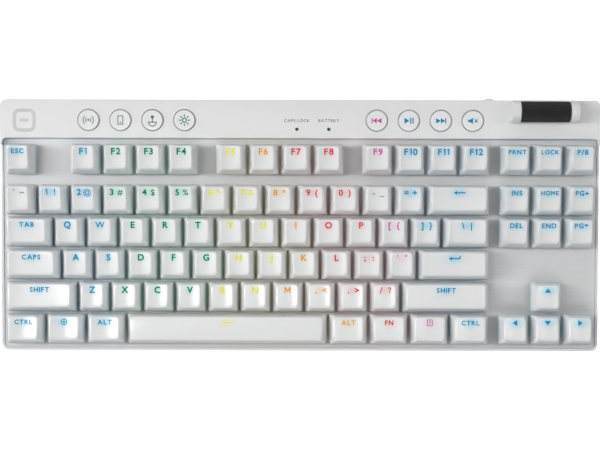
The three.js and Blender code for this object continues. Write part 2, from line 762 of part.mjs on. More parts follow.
// The clear moulding that brings light up to both indicator windows.
function indicatorLightPipe() {
  const top = stripCeiling - SEAT_GAP;
  const [left, right] = LIGHTS;
  let pipe = block(
    [left - LIGHT_BAR, lightRow - LIGHT_BAR, top - LIGHT_BAR],
    [right + LIGHT_BAR, lightRow + LIGHT_BAR, top],
  );
  for (const x of LIGHTS) {
    pipe = pipe.add(post(LIGHT_RADIUS, x, lightRow, top - EMBED, STRIP_RISE, PIN_SIDES));
  }
  return pipe;
}

// The roller and the pins in its ends.
function volumeRoller() {
  const half = ROLLER_LENGTH / 2;
  const reach = half + PIN_LENGTH;
  const ends = [rollerX - half, rollerX + half];
  const pinEnds = [rollerX - reach, rollerX + reach];
  const drum = axle(ROLLER_RADIUS, ...ends, rollerY, rollerZ, ROUND_SIDES);
  return drum.add(axle(PIN_RADIUS, ...pinEnds, rollerY, rollerZ, PIN_SIDES));
}

// The port: a drawn shell that is open to the rear, with a tongue inside.
function usbPort() {
  const half = USB_WIDTH / 2;
  const back = usbFace - USB_DEPTH;
  const top = usbBottom + USB_HEIGHT;
  const middle = usbBottom + USB_HEIGHT / 2;
  const tongueHalf = half - USB_TONGUE_INSET;
  const shell = block([USB_X - half, back, usbBottom], [USB_X + half, usbFace, top]);
  const mouth = block(
    [USB_X - half + USB_SHELL, back + 2 * EMBED, usbBottom + USB_SHELL],
    [USB_X + half - USB_SHELL, caseRear, top - USB_SHELL],
  );
  const tongue = block(
    [USB_X - tongueHalf, back, middle - USB_SHELL],
    [USB_X + tongueHalf, usbFace - 2 * EMBED, middle + USB_SHELL],
  );
  return shell.subtract(mouth).add(tongue);
}

// The power slider, switched on, at the left-hand end of its slot.
function powerSlider() {
  const half = POWER_KNOB / 2;
  const halfHeight = POWER_KNOB_HEIGHT / 2;
  const lipFace = insideRear - SEAT_GAP;
  const lipBack = lipFace - POWER_LIP_THICKNESS;
  const knob = block(
    [powerX - half, lipBack, powerZ - halfHeight],
    [powerX + half, caseRear - KNOB_SETBACK, powerZ + halfHeight],
  );
  const lip = block(
    [powerX - half - POWER_LIP.side, lipBack, powerZ - halfHeight - POWER_LIP.top],
    [powerX + half + POWER_LIP.side, lipFace, powerZ + halfHeight + POWER_LIP.top],
  );
  return knob.add(lip);
}

// The wireless receiver, stowed plug first in its sleeve.
function receiver() {
  const { width, length, height } = RECEIVER_HEAD;
  const neck = receiverBack - length;
  const middle = receiverBottom + height / 2;
  const head = block(
    [RECEIVER_X - width / 2, neck, receiverBottom],
    [RECEIVER_X + width / 2, receiverBack, receiverBottom + height],
  );
  const halfPlug = RECEIVER_PLUG.width / 2;
  const halfHeight = RECEIVER_PLUG.height / 2;
  const plug = block(
    [RECEIVER_X - halfPlug, neck - RECEIVER_PLUG.length, middle - halfHeight],
    [RECEIVER_X + halfPlug, neck + EMBED, middle + halfHeight],
  );
  return head.add(plug);
}

// A foot leaf folded flat: a round hinge end with pins, and a straight blade towards the typist.
function footLeaf(x, { width, reach }) {
  const half = width / 2;
  const radius = FOOT_THICKNESS / 2;
  const barrel = axle(radius, x - half, x + half, hingeY, hingeZ, ROUND_SIDES);
  const blade = block([x - half, hingeY - reach, hingeZ - radius], [x + half, hingeY, hingeZ + radius]);
  const pinEnd = half + FOOT_PIN_LENGTH;
  const pin = axle(FOOT_PIN_RADIUS, x - pinEnd, x + pinEnd, hingeY, hingeZ, PIN_SIDES);
  return barrel.add(blade).add(pin);
}

// The high foot has a window that the low foot folds into, on the same hinge line.
function highFoot(x) {
  const half = LOW_FOOT.width / 2 + SLIDE_GAP;
  const front = hingeY - LOW_FOOT.reach - 2 * SLIDE_GAP;
  const window = block([x - half, front, -OVERSHOOT], [x + half, caseDepth, OVERSHOOT]);
  const reach = half + FOOT_PIN_LENGTH;
  const bore = FOOT_PIN_RADIUS + SLIDE_GAP;
  const sockets = axle(bore, x - reach, x + reach, hingeY, hingeZ, PIN_SIDES);
  return footLeaf(x, HIGH_FOOT).subtract(window).subtract(sockets);
}

function battery() {
  const { width, depth, height, y } = BATTERY;
  const size = [width, depth, PLATE_CORNER, CORNER_STEPS, 0, y];
  const bottom = floor + SEAT_GAP;
  return loft([ring(...size, bottom), ring(...size, bottom + height)]);
}

// ---------------------------------------------------------------- the assembly

function addPart(group, name, solid, material) {
  const mesh = new THREE.Mesh(geometryOf(solid), material);
  mesh.name = name;
  group.add(mesh);
  return mesh;
}

const keyboard = new THREE.Group();
const deck = new THREE.Group();
deck.position.z = deckHeight;
deck.rotation.x = DECK_TILT;
keyboard.add(deck);

addPart(keyboard, "bottom_case", bottomCase(), whiteShell);
addPart(keyboard, "top_case", topCase(), whiteShell);
addPart(deck, "switch_plate", switchPlate(), aluminium);
addPart(deck, "switch_board", switchBoard(), boardBlack);
addPart(keyboard, "battery", battery(), batteryGrey);
addPart(keyboard, "usb_c_port", usbPort(), connectorSteel);
addPart(deck, "indicator_light_pipe", indicatorLightPipe(), lightPipe);
addPart(keyboard, "volume_roller", volumeRoller(), rollerBlack);
addPart(keyboard, "power_slider", powerSlider(), sliderGrey);
addPart(keyboard, "wireless_receiver", receiver(), sliderGrey);
for (const [side, x] of footPlaces) {
  addPart(keyboard, `${side}_high_foot`, highFoot(x), whiteShell);
  addPart(keyboard, `${side}_low_foot`, footLeaf(x, LOW_FOOT), whiteShell);
}
for (const pad of padPlaces()) addPart(keyboard, pad.name, rubberPad(pad), padGrey);
for (const [name, x] of buttonPlaces) addPart(deck, name, roundButton(x), keyWhite);
buildKeys(deck);

export default keyboard;
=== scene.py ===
# A white tenkeyless mechanical keyboard with a media strip, a volume roller and coloured backlight.
# Lengths in the sections are millimetres, and each piece is turned into metres as it is placed.
import json
import math

import bmesh
import bpy
from mathutils import Matrix, Vector


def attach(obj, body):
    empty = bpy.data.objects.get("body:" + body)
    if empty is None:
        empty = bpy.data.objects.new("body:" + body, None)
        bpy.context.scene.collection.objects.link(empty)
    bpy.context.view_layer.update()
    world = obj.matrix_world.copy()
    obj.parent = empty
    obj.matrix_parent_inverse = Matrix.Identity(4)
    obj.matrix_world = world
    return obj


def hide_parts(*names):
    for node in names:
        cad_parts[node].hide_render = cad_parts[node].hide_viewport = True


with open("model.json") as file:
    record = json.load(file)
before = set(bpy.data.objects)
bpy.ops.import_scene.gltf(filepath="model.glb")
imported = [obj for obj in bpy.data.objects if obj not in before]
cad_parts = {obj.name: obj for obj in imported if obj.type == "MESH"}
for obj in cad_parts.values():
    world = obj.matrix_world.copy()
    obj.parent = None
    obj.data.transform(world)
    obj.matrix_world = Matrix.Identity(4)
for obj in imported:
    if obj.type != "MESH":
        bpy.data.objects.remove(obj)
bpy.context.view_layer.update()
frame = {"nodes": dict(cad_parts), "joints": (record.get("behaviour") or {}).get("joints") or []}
scene = bpy.context.scene

# ------------------------------------------------------------------ the two frames of reference
# The table frame has +Z up. The deck frame lies on the sloping switch plate, which the keys, the
# switches and the media strip follow. The slope is the one that the keys are pressed along.

MM = 0.001
joints = {joint["name"]: joint for joint in frame["joints"]}
tilt = math.asin(joints["space_bar_press"]["axis"][1])
plate_vertices = frame["nodes"]["switch_plate"].data.vertices
level = Matrix.Rotation(-tilt, 4, "X")
deck_height = max((level @ vertex.co).z for vertex in plate_vertices) / MM / math.cos(tilt)
deck = Matrix.Translation((0, 0, deck_height)) @ Matrix.Rotation(tilt, 4, "X")
table = Matrix.Identity(4)


def corners(node, place=table):
    """The lowest and highest corners of a CAD node in the table frame or the deck frame."""
    inverse = place.inverted()
    points = [inverse @ (vertex.co / MM) for vertex in frame["nodes"][node].data.vertices]
    low = Vector([min(point[axis] for point in points) for axis in range(3)])
    high = Vector([max(point[axis] for point in points) for axis in range(3)])
    return low, high


case_low, case_high = corners("bottom_case")
CASE_SIDE = case_high.x
CASE_REAR = case_high.y
plate_low, plate_high = corners("switch_plate", deck)

# ------------------------------------------------------------------ studio
# A camera straight over the keyboard, a white sweep to stand it on, a softbox high on each side, a
# low narrow one on each side that picks out the keys' flanks, and one each behind and in front.

CAMERA_HEIGHT = 758
CAMERA_ROLL = 0.15
camera_data = bpy.data.cameras.new("camera")
camera_data.lens = 75
camera_data.sensor_width = 36
camera = bpy.data.objects.new("camera", camera_data)
camera.location = (0, 0, CAMERA_HEIGHT * MM)
camera.rotation_euler = (0, 0, math.radians(CAMERA_ROLL))
scene.collection.objects.link(camera)
scene.camera = camera
scene.view_settings.view_transform = "Standard"


def softbox(name, place, target, size, power, spread=180):
    """A rectangular lamp aimed at a target, in metres, watts and degrees."""
    light = bpy.data.lights.new(name, "AREA")
    light.shape = "RECTANGLE"
    light.size, light.size_y = size
    light.energy = power
    light.spread = math.radians(spread)
    lamp = bpy.data.objects.new(name, light)
    lamp.location = place
    lamp.rotation_euler = (Vector(target) - Vector(place)).to_track_quat("-Z", "Y").to_euler()
    scene.collection.objects.link(lamp)


softbox("left_softbox", (-0.7, 0.1, 0.9), (0, 0, 0), (0.3, 0.7), 4.4)
softbox("right_softbox", (0.7, 0.1, 0.9), (0, 0, 0), (0.3, 0.7), 1.35)
softbox("low_left_softbox", (-0.75, 0.08, 0.45), (-0.08, 0, 0), (0.3, 0.6), 0.24, 34)
softbox("low_right_softbox", (0.6, 0.1, 0.5), (0.12, 0, 0), (0.2, 0.6), 0.07, 24)
softbox("rear_softbox", (0, 0.75, 0.6), (0, 0, 0), (0.9, 0.25), 1.3)
softbox("front_softbox", (0, -0.6, 0.8), (0, 0, 0), (0.9, 0.25), 2.0)

ROOM_LIGHT = 0.1  # how strongly the pale room lights the object
ROOM_WHITE = 0.88  # how bright the room itself looks


def feed(tree, node, inputs):
    """Gives each input of a node its value, or the socket that feeds it."""
    for place, source in inputs.items():
        if isinstance(source, bpy.types.NodeSocket):
            tree.links.new(source, node.inputs[place])
        else:
            node.inputs[place].default_value = source


def new_node(tree, kind, inputs=None, **properties):
    """A new shader node with its properties and its inputs."""
    node = tree.nodes.new(f"ShaderNode{kind}")
    for name, value in properties.items():
        setattr(node, name, value)
    feed(tree, node, inputs or {})
    return node


def seen_directly(tree, seen, otherwise):
    """A brightness with one value where it is looked at and another where it lights things."""
    looked_at = new_node(tree, "LightPath").outputs["Is Camera Ray"]
    choice = new_node(tree, "MapRange", {"Value": looked_at, "To Min": otherwise, "To Max": seen})
    return choice.outputs["Result"]


world = bpy.data.worlds.new("studio")
world.use_nodes = True
room = world.node_tree
brightness = seen_directly(room, ROOM_WHITE, ROOM_LIGHT)
feed(room, room.nodes["Background"], {"Color": (1, 1, 1, 1), "Strength": brightness})
scene.world = world


def new_material(name):
    """A material with only its Principled shader and its output, its node tree and the shader."""
    material = bpy.data.materials.new(name)
    material.use_nodes = True
    return material, material.node_tree, material.node_tree.nodes["Principled BSDF"]


SWEEP_HALF = 3
floor_mesh = bpy.data.meshes.new("sweep")
floor_corners = [(SWEEP_HALF * x, SWEEP_HALF * y, 0) for x, y in ((-1, -1), (1, -1), (1, 1), (-1, 1))]
floor_mesh.from_pydata(floor_corners, [], [(0, 1, 2, 3)])
floor = bpy.data.objects.new("sweep", floor_mesh)
scene.collection.objects.link(floor)
sweep_white, tree, shader = new_material("sweep_white")
feed(tree, shader, {
    "Base Color": (0.8, 0.8, 0.8, 1), "Roughness": 0.9, "Specular IOR Level": 0,
    "Emission Color": (1, 1, 1, 1), "Emission Strength": seen_directly(tree, ROOM_WHITE, 0),
})
floor_mesh.materials.append(sweep_white)

# ------------------------------------------------------------------ bottom case
# The wedge-shaped tray of white ABS that stands on the pads. It is moulded, with wells for the tilt
# feet and the pads, and eight screws through its floor hold the two shells together.

CORNER = 4
BEVEL_HEIGHT = 3
SIDE_DRAFT = 1.2  # how far each side leans in over the draft height
REAR_DRAFT = 1.8
DRAFT_HEIGHT = 24
PARTING = -6.5  # the seam between the two shells, from the deck
SEAM = 0.3
WALL = 2.2
FLOOR = 2
BELOW = -5  # where cuts from underneath start
REACH = 500  # longer than anything that is cut
CASE_FOOT = case_low.z
PIN_LENGTH = 1.6  # of the pins that a tilt foot turns on
PAD_CORNER = 2.6


def outline(half_x, half_y, radius, steps, across=1, along=1):
    """Places anticlockwise round a rectangle with round corners, with its edges cut into parts."""
    bends = []
    for corner, (side_x, side_y) in enumerate(((1, 1), (-1, 1), (-1, -1), (1, -1))):
        angles = [(corner + step / max(steps, 1)) * math.pi / 2 for step in range(steps + 1)]
        x, y = side_x * (half_x - radius), side_y * (half_y - radius)
        bends.append([(x + radius * math.cos(a), y + radius * math.sin(a)) for a in angles])
    places = []
    for corner, bend in enumerate(bends):
        count = (across, along)[corner % 2]
        (x0, y0), (x1, y1) = bend[-1], bends[(corner + 1) % 4][0]
        places += bend
        places += [(x0 + (x1 - x0) * i / count, y0 + (y1 - y0) * i / count) for i in range(1, count)]
    return places


def ring(width, depth, radius, steps, x, y, z):
    """Points round a level rectangle with round corners."""
    return [Vector((x + px, y + py, z)) for px, py in outline(width / 2, depth / 2, radius, steps)]


def loft(mesh, rings, caps=True, place=table):
    """Skins rings of equally many points, the lowest first, and closes both ends."""
    rows = [[mesh.verts.new(place @ point) for point in points] for points in rings]
    for lower, upper in zip(rows, rows[1:]):
        for i in range(len(lower)):
            j = (i + 1) % len(lower)
            mesh.faces.new((lower[i], lower[j], upper[j], upper[i]))
    if caps:
        mesh.faces.new(rows[0][::-1])
        mesh.faces.new(rows[-1])
    return rows


def prism(width, depth, radius, x, y, low, high, place=table, steps=8):
    """A new upright prism with round corners between two heights."""
    mesh = bmesh.new()
    sizes = (width, depth, radius, steps if radius else 0, x, y)
    loft(mesh, [ring(*sizes, low), ring(*sizes, high)], place=place)
    return mesh


def block(low, high, place=table, radius=0):
    """A new block between two corners, with its upright edges round or sharp."""
    x, y = [(a + b) / 2 for a, b in zip(low[:2], high[:2])]
    return prism(high[0] - low[0], high[1] - low[1], radius, x, y, low[2], high[2], place)


def turned(profile, steps, place=table):
    """A new body of revolution about Z from (radius, height) points that start and end on the axis."""
    mesh = bmesh.new()
    rows = []
    for radius, height in profile[1:-1]:
        angles = [2 * math.pi * step / steps for step in range(steps)]
        rows.append([Vector((radius * math.cos(a), radius * math.sin(a), height)) for a in angles])
    skins = loft(mesh, rows, caps=False, place=place)
    for row, (radius, height), flip in ((skins[0], profile[0], True), (skins[-1], profile[-1], False)):
        tip = mesh.verts.new(place @ Vector((0, 0, height)))
        for i in range(steps):
            pair = (row[i], row[(i + 1) % steps])
            mesh.faces.new((tip, pair[1], pair[0]) if flip else (tip, pair[0], pair[1]))
    return mesh


def rounded_disc(radius, low, high, fillet, steps=48, place=table, hollow=0.0):
    """A new disc with a round upper edge, whose top dips by hollow in the middle."""
    profile = [(0, low), (radius, low)]
    for step in range(5):
        angle = step / 4 * math.pi / 2
        rise = high - fillet + fillet * math.sin(angle)
        profile.append((radius - fillet + fillet * math.cos(angle), rise))
    for share in (0.75, 0.5, 0.25):
        profile.append(((radius - fillet) * share, high - hollow * (1 - share * share)))
    profile.append((0, high - hollow))
    return turned(profile, steps, place)


def combine(mesh, tool, operation="DIFFERENCE"):
    """Cuts tool out of mesh, or joins the two, and uses both up."""
    pair = []
    for part in (mesh, tool):
        data = bpy.data.meshes.new("stock")
        part.to_mesh(data)
        part.free()
        thing = bpy.data.objects.new("stock", data)
        scene.collection.objects.link(thing)
        pair.append(thing)
    cut = pair[0].modifiers.new("cut", "BOOLEAN")
    cut.solver = "MANIFOLD"
    cut.operation = operation
    cut.object = pair[1]
    result = bmesh.new()
    result.from_object(pair[0], bpy.context.evaluated_depsgraph_get())
    for thing in pair:
        data = thing.data
        bpy.data.objects.remove(thing)
        bpy.data.meshes.remove(data)
    return result


def add(mesh, other, place=table):
    """Puts other into mesh as a separate shell, and uses it up."""
    data = bpy.data.meshes.new("copy")
    other.to_mesh(data)
    other.free()
    data.transform(place)
    mesh.from_mesh(data)
    bpy.data.meshes.remove(data)


def moved(mesh, place):
    """Takes a mesh to its place."""
    bmesh.ops.transform(mesh, matrix=place, verts=mesh.verts)
    return mesh


def round_edges(mesh, width, segments=2, angle=35):
    """Merges flat neighbours, then rounds every edge that is sharper than angle."""
    bmesh.ops.remove_doubles(mesh, verts=mesh.verts, dist=0.001)
    flat = math.radians(0.5)
    bmesh.ops.dissolve_limit(mesh, angle_limit=flat, verts=mesh.verts, edges=mesh.edges)
    inner = [edge for edge in mesh.edges if len(edge.link_faces) == 2]
    sharp = [edge for edge in inner if edge.calc_face_angle(0) > math.radians(angle)]
    bmesh.ops.bevel(
        mesh, geom=sharp, offset=width, segments=segments, profile=0.5,
        affect="EDGES", clamp_overlap=True,
    )
    return mesh


def place_piece(name, mesh, materials, body, stands_for=(), smooth=38, flats=True):
    """Turns a mesh in millimetres into a piece that rides on a body and stands for CAD nodes.

    With flats, the large flat faces keep their own shading right up to the rounded edges."""
    bmesh.ops.recalc_face_normals(mesh, faces=mesh.faces)
    data = bpy.data.meshes.new(name)
    mesh.to_mesh(data)
    mesh.free()
    data.transform(Matrix.Scale(MM, 4))
    data.shade_smooth()
    data.set_sharp_from_angle(angle=math.radians(smooth))
    for material in materials:
        data.materials.append(material)
    piece = bpy.data.objects.new(name, data)
    scene.collection.objects.link(piece)
    if flats:
        shading = piece.modifiers.new("flat_faces", "WEIGHTED_NORMAL")
        shading.keep_sharp = True
        shading.weight = 100
    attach(piece, body)
    if stands_for:
        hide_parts(*stands_for)
    return piece


def shader_group(name, inputs, outputs):
    """A node group with named float and colour sockets, and its two ends."""
    group = bpy.data.node_groups.new(name, "ShaderNodeTree")
    for label, kind, value in inputs:
        socket = group.interface.new_socket(label, in_out="INPUT", socket_type=kind)
        socket.default_value = value
    for label, kind in outputs:
        group.interface.new_socket(label, in_out="OUTPUT", socket_type=kind)
    return group, group.nodes.new("NodeGroupInput"), group.nodes.new("NodeGroupOutput")


FLOAT, COLOUR = "NodeSocketFloat", "NodeSocketColor"

# Moulded grain: the fine spark-eroded texture of a mould, as a height for a bump, with slow patches
# in colour and roughness.
grain, start, end = shader_group(
    "moulded_grain",
    [
        ("Color", COLOUR, (0.8, 0.8, 0.8, 1)),
        ("Grain Size", FLOAT, 0.25),
        ("Patchiness", FLOAT, 0.03),
        ("Roughness", FLOAT, 0.45),
    ],
    [("Color", COLOUR), ("Roughness", FLOAT), ("Height", FLOAT)],
)
where = new_node(grain, "TexCoord").outputs["Object"]
size, patchiness = start.outputs["Grain Size"], start.outputs["Patchiness"]
fineness = new_node(grain, "Math", {0: 1 / MM, 1: size}, operation="DIVIDE")
specks = new_node(grain, "TexNoise", {"Vector": where, "Scale": fineness.outputs[0], "Detail": 2})
patches = new_node(grain, "TexNoise", {"Vector": where, "Scale": 40, "Detail": 4})
centred = new_node(grain, "Math", {0: patches.outputs["Fac"], 1: 0.5}, operation="SUBTRACT")
terms = {0: centred.outputs[0], 1: patchiness, 2: 1}
swing = new_node(grain, "Math", terms, operation="MULTIPLY_ADD").outputs[0]
tone = new_node(grain, "VectorMath", {0: start.outputs["Color"], "Scale": swing}, operation="SCALE")
gloss = new_node(grain, "Math", {0: start.outputs["Roughness"], 1: swing}, operation="MULTIPLY")
feed(grain, end, {"Color": tone.outputs[0], "Roughness": gloss.outputs[0], "Height": specks.outputs["Fac"]})


def moulded(name, colour, roughness, grain_size=0.25, bump=0.15, patchiness=0.25):
    """A moulded plastic or rubber with its grain, its node tree and its shader."""
    material, tree, shader = new_material(name)
    values = {"Color": (*colour, 1), "Roughness": roughness}
    values.update({"Grain Size": grain_size, "Patchiness": patchiness})
    surface = new_node(tree, "Group", values, node_tree=grain).outputs
    relief = new_node(tree, "Bump", {"Strength": bump, "Distance": 0.00005, "Height": surface["Height"]})
    feed(tree, shader, {"Base Color": surface["Color"], "Roughness": surface["Roughness"]})
    feed(tree, shader, {"Normal": relief.outputs["Normal"]})
    return material, tree, shader


case_white, *_ = moulded("case_white", (0.78, 0.78, 0.78), 0.45, patchiness=0.04)


def case_blank():
    """The whole outside of the case, before the deck is cut into it."""
    widest = CASE_FOOT + BEVEL_HEIGHT
    top = DRAFT_HEIGHT * 2
    lean = (top - widest) / (DRAFT_HEIGHT - widest)
    sizes = [
        (2 * (CASE_SIDE - BEVEL_HEIGHT), 2 * (CASE_REAR - BEVEL_HEIGHT), 0, CASE_FOOT),
        (2 * CASE_SIDE, 2 * CASE_REAR, 0, widest),
        (
            2 * (CASE_SIDE - SIDE_DRAFT * lean),
            2 * CASE_REAR - (SIDE_DRAFT + REAR_DRAFT) * lean,
            (SIDE_DRAFT - REAR_DRAFT) / 2 * lean,
            top,
        ),
    ]
    mesh = bmesh.new()
    loft(mesh, [ring(width, depth, CORNER, 8, 0, y, z) for width, depth, y, z in sizes])
    return mesh


def foot_well(side):
    """The low and high corners of the well that a pair of tilt feet folds into."""
    low, high = corners(f"{side}_high_foot")
    well_low = Vector((low.x + PIN_LENGTH - SEAM, low.y - 2 * SEAM, BELOW))
    well_high = Vector((high.x - PIN_LENGTH + SEAM, high.y + 2 * SEAM, high.z + SEAM))
    return well_low, well_high


SCREWS = [(-167, -64), (0, -66), (167, -64), (-166, 8), (166, 8), (-160, 40), (0, 64), (160, 40)]
SCREW_POCKET = 3.4
SCREW_DEPTH = 2.2
LABEL_WIDTH, LABEL_DEPTH, LABEL_Y = 63, 25, 6
tray = case_blank()
tray = combine(tray, block((-REACH, -REACH, PARTING - SEAM), (REACH, REACH, REACH), deck))
inside = 2 * (WALL + SIDE_DRAFT)
tray = combine(
    tray,
    prism(2 * CASE_SIDE - inside, 2 * CASE_REAR - inside, CORNER - 0.5, 0, 0, CASE_FOOT + FLOOR, REACH),
)
for side in ("left", "right"):
    low, high = foot_well(side)
    shell_low = (low.x - WALL, low.y - WALL, CASE_FOOT)
    tray = combine(tray, block(shell_low, high + Vector((WALL, WALL, WALL))), "UNION")
    tray = combine(tray, block(low, high))
for node in ("front_left_pad", "front_right_pad", "rear_left_pad", "rear_right_pad"):
    low, high = corners(node)
    middle = (low + high) / 2
    size = high - low
    pocket = (size.x + 2 * SEAM, size.y + 2 * SEAM, PAD_CORNER + SEAM, middle.x, middle.y)
    tray = combine(tray, prism(*pocket, BELOW, high.z + SEAM))
for x, y in SCREWS:
    across = 2 * SCREW_POCKET
    tray = combine(tray, prism(across, across, SCREW_POCKET - 0.01, x, y, BELOW, SCREW_DEPTH))
receiver_low, receiver_high = corners("wireless_receiver")
SLEEVE_WALL = 1.2
sleeve_low = receiver_low - Vector((SLEEVE_WALL, SLEEVE_WALL, 1.5 * SLEEVE_WALL))
sleeve_high = (receiver_high.x + SLEEVE_WALL, CASE_REAR - 4, receiver_high.z + SLEEVE_WALL)
tray = combine(tray, block(sleeve_low, sleeve_high), "UNION")
tray = combine(
    tray,
    prism(
        receiver_high.x - receiver_low.x + 2 * SEAM, 60, 1.2,
        (receiver_low.x + receiver_high.x) / 2, receiver_low.y - SEAM + 30,
        receiver_low.z - SEAM, receiver_high.z + SEAM, steps=0,
    ),
)
tray = combine(tray, prism(LABEL_WIDTH + 1, LABEL_DEPTH + 1, 1.5, 0, LABEL_Y, BELOW, CASE_FOOT + 0.3))
place_piece("bottom_shell", round_edges(tray, 0.35), [case_white], "case", ["bottom_case"])

label_grey, *_ = moulded("label_grey", (0.5, 0.5, 0.52), 0.35, patchiness=0.1)
label = prism(LABEL_WIDTH, LABEL_DEPTH, 1.2, 0, LABEL_Y, CASE_FOOT + 0.1, CASE_FOOT + 0.25)
label = round_edges(label, 0.04)
place_piece("blank_rating_label", label, [label_grey], "case")

# The eight case screws: zinc-plated, with a cross recess, at the bottom of their pockets.
def two_tones(tree, noise, dark, light):
    """Colours between two tones that follow a noise."""
    tones = new_node(tree, "ValToRGB", {"Fac": noise.outputs["Fac"]})
    for element, colour in zip(tones.color_ramp.elements, (dark, light)):
        element.color = (*colour, 1)
    return tones.outputs["Color"]


def plated(name, scale, dark, light, roughness):
    """A bright plated metal with uneven patches."""
    material, tree, shader = new_material(name)
    patches = new_node(tree, "TexNoise", {"Scale": scale})
    tones = two_tones(tree, patches, dark, light)
    feed(tree, shader, {"Metallic": 1, "Roughness": roughness, "Base Color": tones})
    return material


zinc = plated("zinc_plate", 900, (0.3, 0.3, 0.31), (0.55, 0.55, 0.56), 0.35)
screws = bmesh.new()
for x, y in SCREWS:
    place = Matrix.Translation((x, y, SCREW_DEPTH)) @ Matrix.Rotation(math.pi, 4, "X")
    head = rounded_disc(2.8, -0.4, 0.6, 0.35, 24)
    for across, along in ((2.6, 0.6), (0.6, 2.6)):
        head = combine(head, block((-across / 2, -along / 2, 0.1), (across / 2, along / 2, 2)))
    add(screws, head, place)
place_piece("case_screws", screws, [zinc], "case")

# ------------------------------------------------------------------ top case
# The upper shell of white ABS: thin rails round the switch plate and the raised media strip behind
# it, with a crisp rounded front edge, eight button holes and two windows for indicator lights.

RAIL_RISE = 0.4
SEAT = plate_low.z - SEAM
LEDGE = 3.7  # how wide a ledge the plate rests on
STRIP_RISE = 4.6
STRIP_CEILING = 2.4
DECK_CORNER = 2.5
BUTTON_GAP = 0.5
buttons = [
    "wireless_button", "pairing_button", "game_mode_button", "brightness_button",
    "previous_track_button", "play_pause_button", "next_track_button", "mute_button",
]
button_places = {}
for node in buttons:
    low, high = corners(node, deck)
    button_places[node] = (low + high) / 2
BUTTON_RADIUS = 6.1
BUTTON_TOP = corners(buttons[0], deck)[1].z
lights_low, lights_high = corners("indicator_light_pipe", deck)
LIGHT_RADIUS = 0.9
LIGHT_BAR = 1.2
light_row = (lights_low.y + lights_high.y) / 2
light_places = [(lights_low.x + LIGHT_BAR, light_row), (lights_high.x - LIGHT_BAR, light_row)]
deck_front = plate_low.y - SEAM
deck_rear = plate_high.y + SEAM
deck_side = plate_high.x + SEAM
inside_rear = CASE_REAR - REAR_DRAFT - WALL


def deck_prism(half_width, front, rear, low, high):
    middle = (front + rear) / 2
    return prism(2 * half_width, rear - front, DECK_CORNER, 0, middle, low, high, deck)


cover = case_blank()
cover = combine(cover, block((-REACH, -REACH, -REACH), (REACH, REACH, PARTING), deck))
cover = combine(cover, block((-REACH, -REACH, STRIP_RISE), (REACH, REACH, REACH), deck))
cover = combine(cover, block((-REACH, -REACH, RAIL_RISE), (REACH, deck_rear - 4, REACH), deck))
cover = combine(cover, deck_prism(deck_side, deck_front, deck_rear, SEAT, 60))
pocket_side = deck_side - LEDGE
cover = combine(cover, deck_prism(pocket_side, deck_front + LEDGE, deck_rear - LEDGE, -30, 1))
BEAM_FOOT = -4.7  # underside of the beam behind the plate
under_beam = block((-pocket_side, deck_rear - 8, -30), (pocket_side, inside_rear, BEAM_FOOT), deck)
cover = combine(cover, under_beam)
under_strip = block((-pocket_side, deck_rear + WALL, -30), (pocket_side, inside_rear, STRIP_CEILING), deck)
cover = combine(cover, under_strip)

roller_low, roller_high = corners("volume_roller")
roller_axis = (roller_low + roller_high) / 2
ROLLER_PIN = 3
ROLLER_RADIUS = (roller_high.z - roller_low.z) / 2
ROLLER_LENGTH = roller_high.x - roller_low.x - 2 * ROLLER_PIN
PILLAR_LENGTH = 5.6
half_trough = ROLLER_LENGTH / 2 + SEAM
cradle_end = half_trough + PILLAR_LENGTH
trough_radius = ROLLER_RADIUS + 2 * SEAM
saddle = block(
    (roller_axis.x - cradle_end, roller_axis.y - 8, 1.0),
    (roller_axis.x + cradle_end, inside_rear + 0.5, STRIP_CEILING + 0.5),
    deck,
)
cover = combine(cover, saddle, "UNION")


def rod(radius, low, high, steps, place):
    """A new round rod between two places on its axis."""
    return turned([(0, low), (radius, low), (radius, high), (0, high)], steps, place)


along_x = Matrix.Translation(roller_axis) @ Matrix.Rotation(math.pi / 2, 4, "Y")
cover = combine(cover, rod(trough_radius, -half_trough, half_trough, 64, along_x))
HOLE_TOP = 9  # clear of the strip
for middle in button_places.values():
    place = deck @ Matrix.Translation((middle.x, middle.y, 0))
    cover = combine(cover, rod(BUTTON_RADIUS + BUTTON_GAP, 0, HOLE_TOP, 64, place))
for x, y in light_places:
    place = deck @ Matrix.Translation((x, y, 0))
    cover = combine(cover, rod(LIGHT_RADIUS + SEAM / 2, 0, HOLE_TOP, 32, place))
port_low, port_high = corners("usb_c_port")
port_middle = (port_low + port_high) / 2
knob_low, knob_high = corners("power_slider")
lying = Matrix.Rotation(-math.pi / 2, 4, "X")  # turns a piece's foot to the front
port_mouth = Matrix.Translation((port_middle.x, port_high.y, port_middle.z)) @ lying
cover = combine(cover, prism(13, 5.2, 1.6, 0, 0, -6, 20, port_mouth))
KNOB_WIDTH = 5
KNOB_HEIGHT = 2.8
POWER_TRAVEL = 3.5
knob_middle = (knob_low + knob_high) / 2
slot_width = KNOB_WIDTH + POWER_TRAVEL + 2 * SEAM
slot_place = Matrix.Translation((knob_middle.x + POWER_TRAVEL / 2, inside_rear, knob_middle.z)) @ lying
cover = combine(cover, prism(slot_width, KNOB_HEIGHT + 2 * SEAM, 0.8, 0, 0, -6, 20, slot_place))
place_piece("top_shell", round_edges(cover, 0.5, 3), [case_white], "case", ["top_case"])

# The two pillars that carry the roller: upright arches moulded onto the strip, with round outer ends.
PILLAR_RADIUS = ROLLER_RADIUS + 0.3
PILLAR_ROUND = 1.3
strip_here = (deck @ Vector((0, roller_axis.y, STRIP_RISE))).z


def roller_point(x, radius, angle):
    """A point round the roller's axis."""
    return Vector((x, roller_axis.y + radius * math.cos(angle), roller_axis.z + radius * math.sin(angle)))


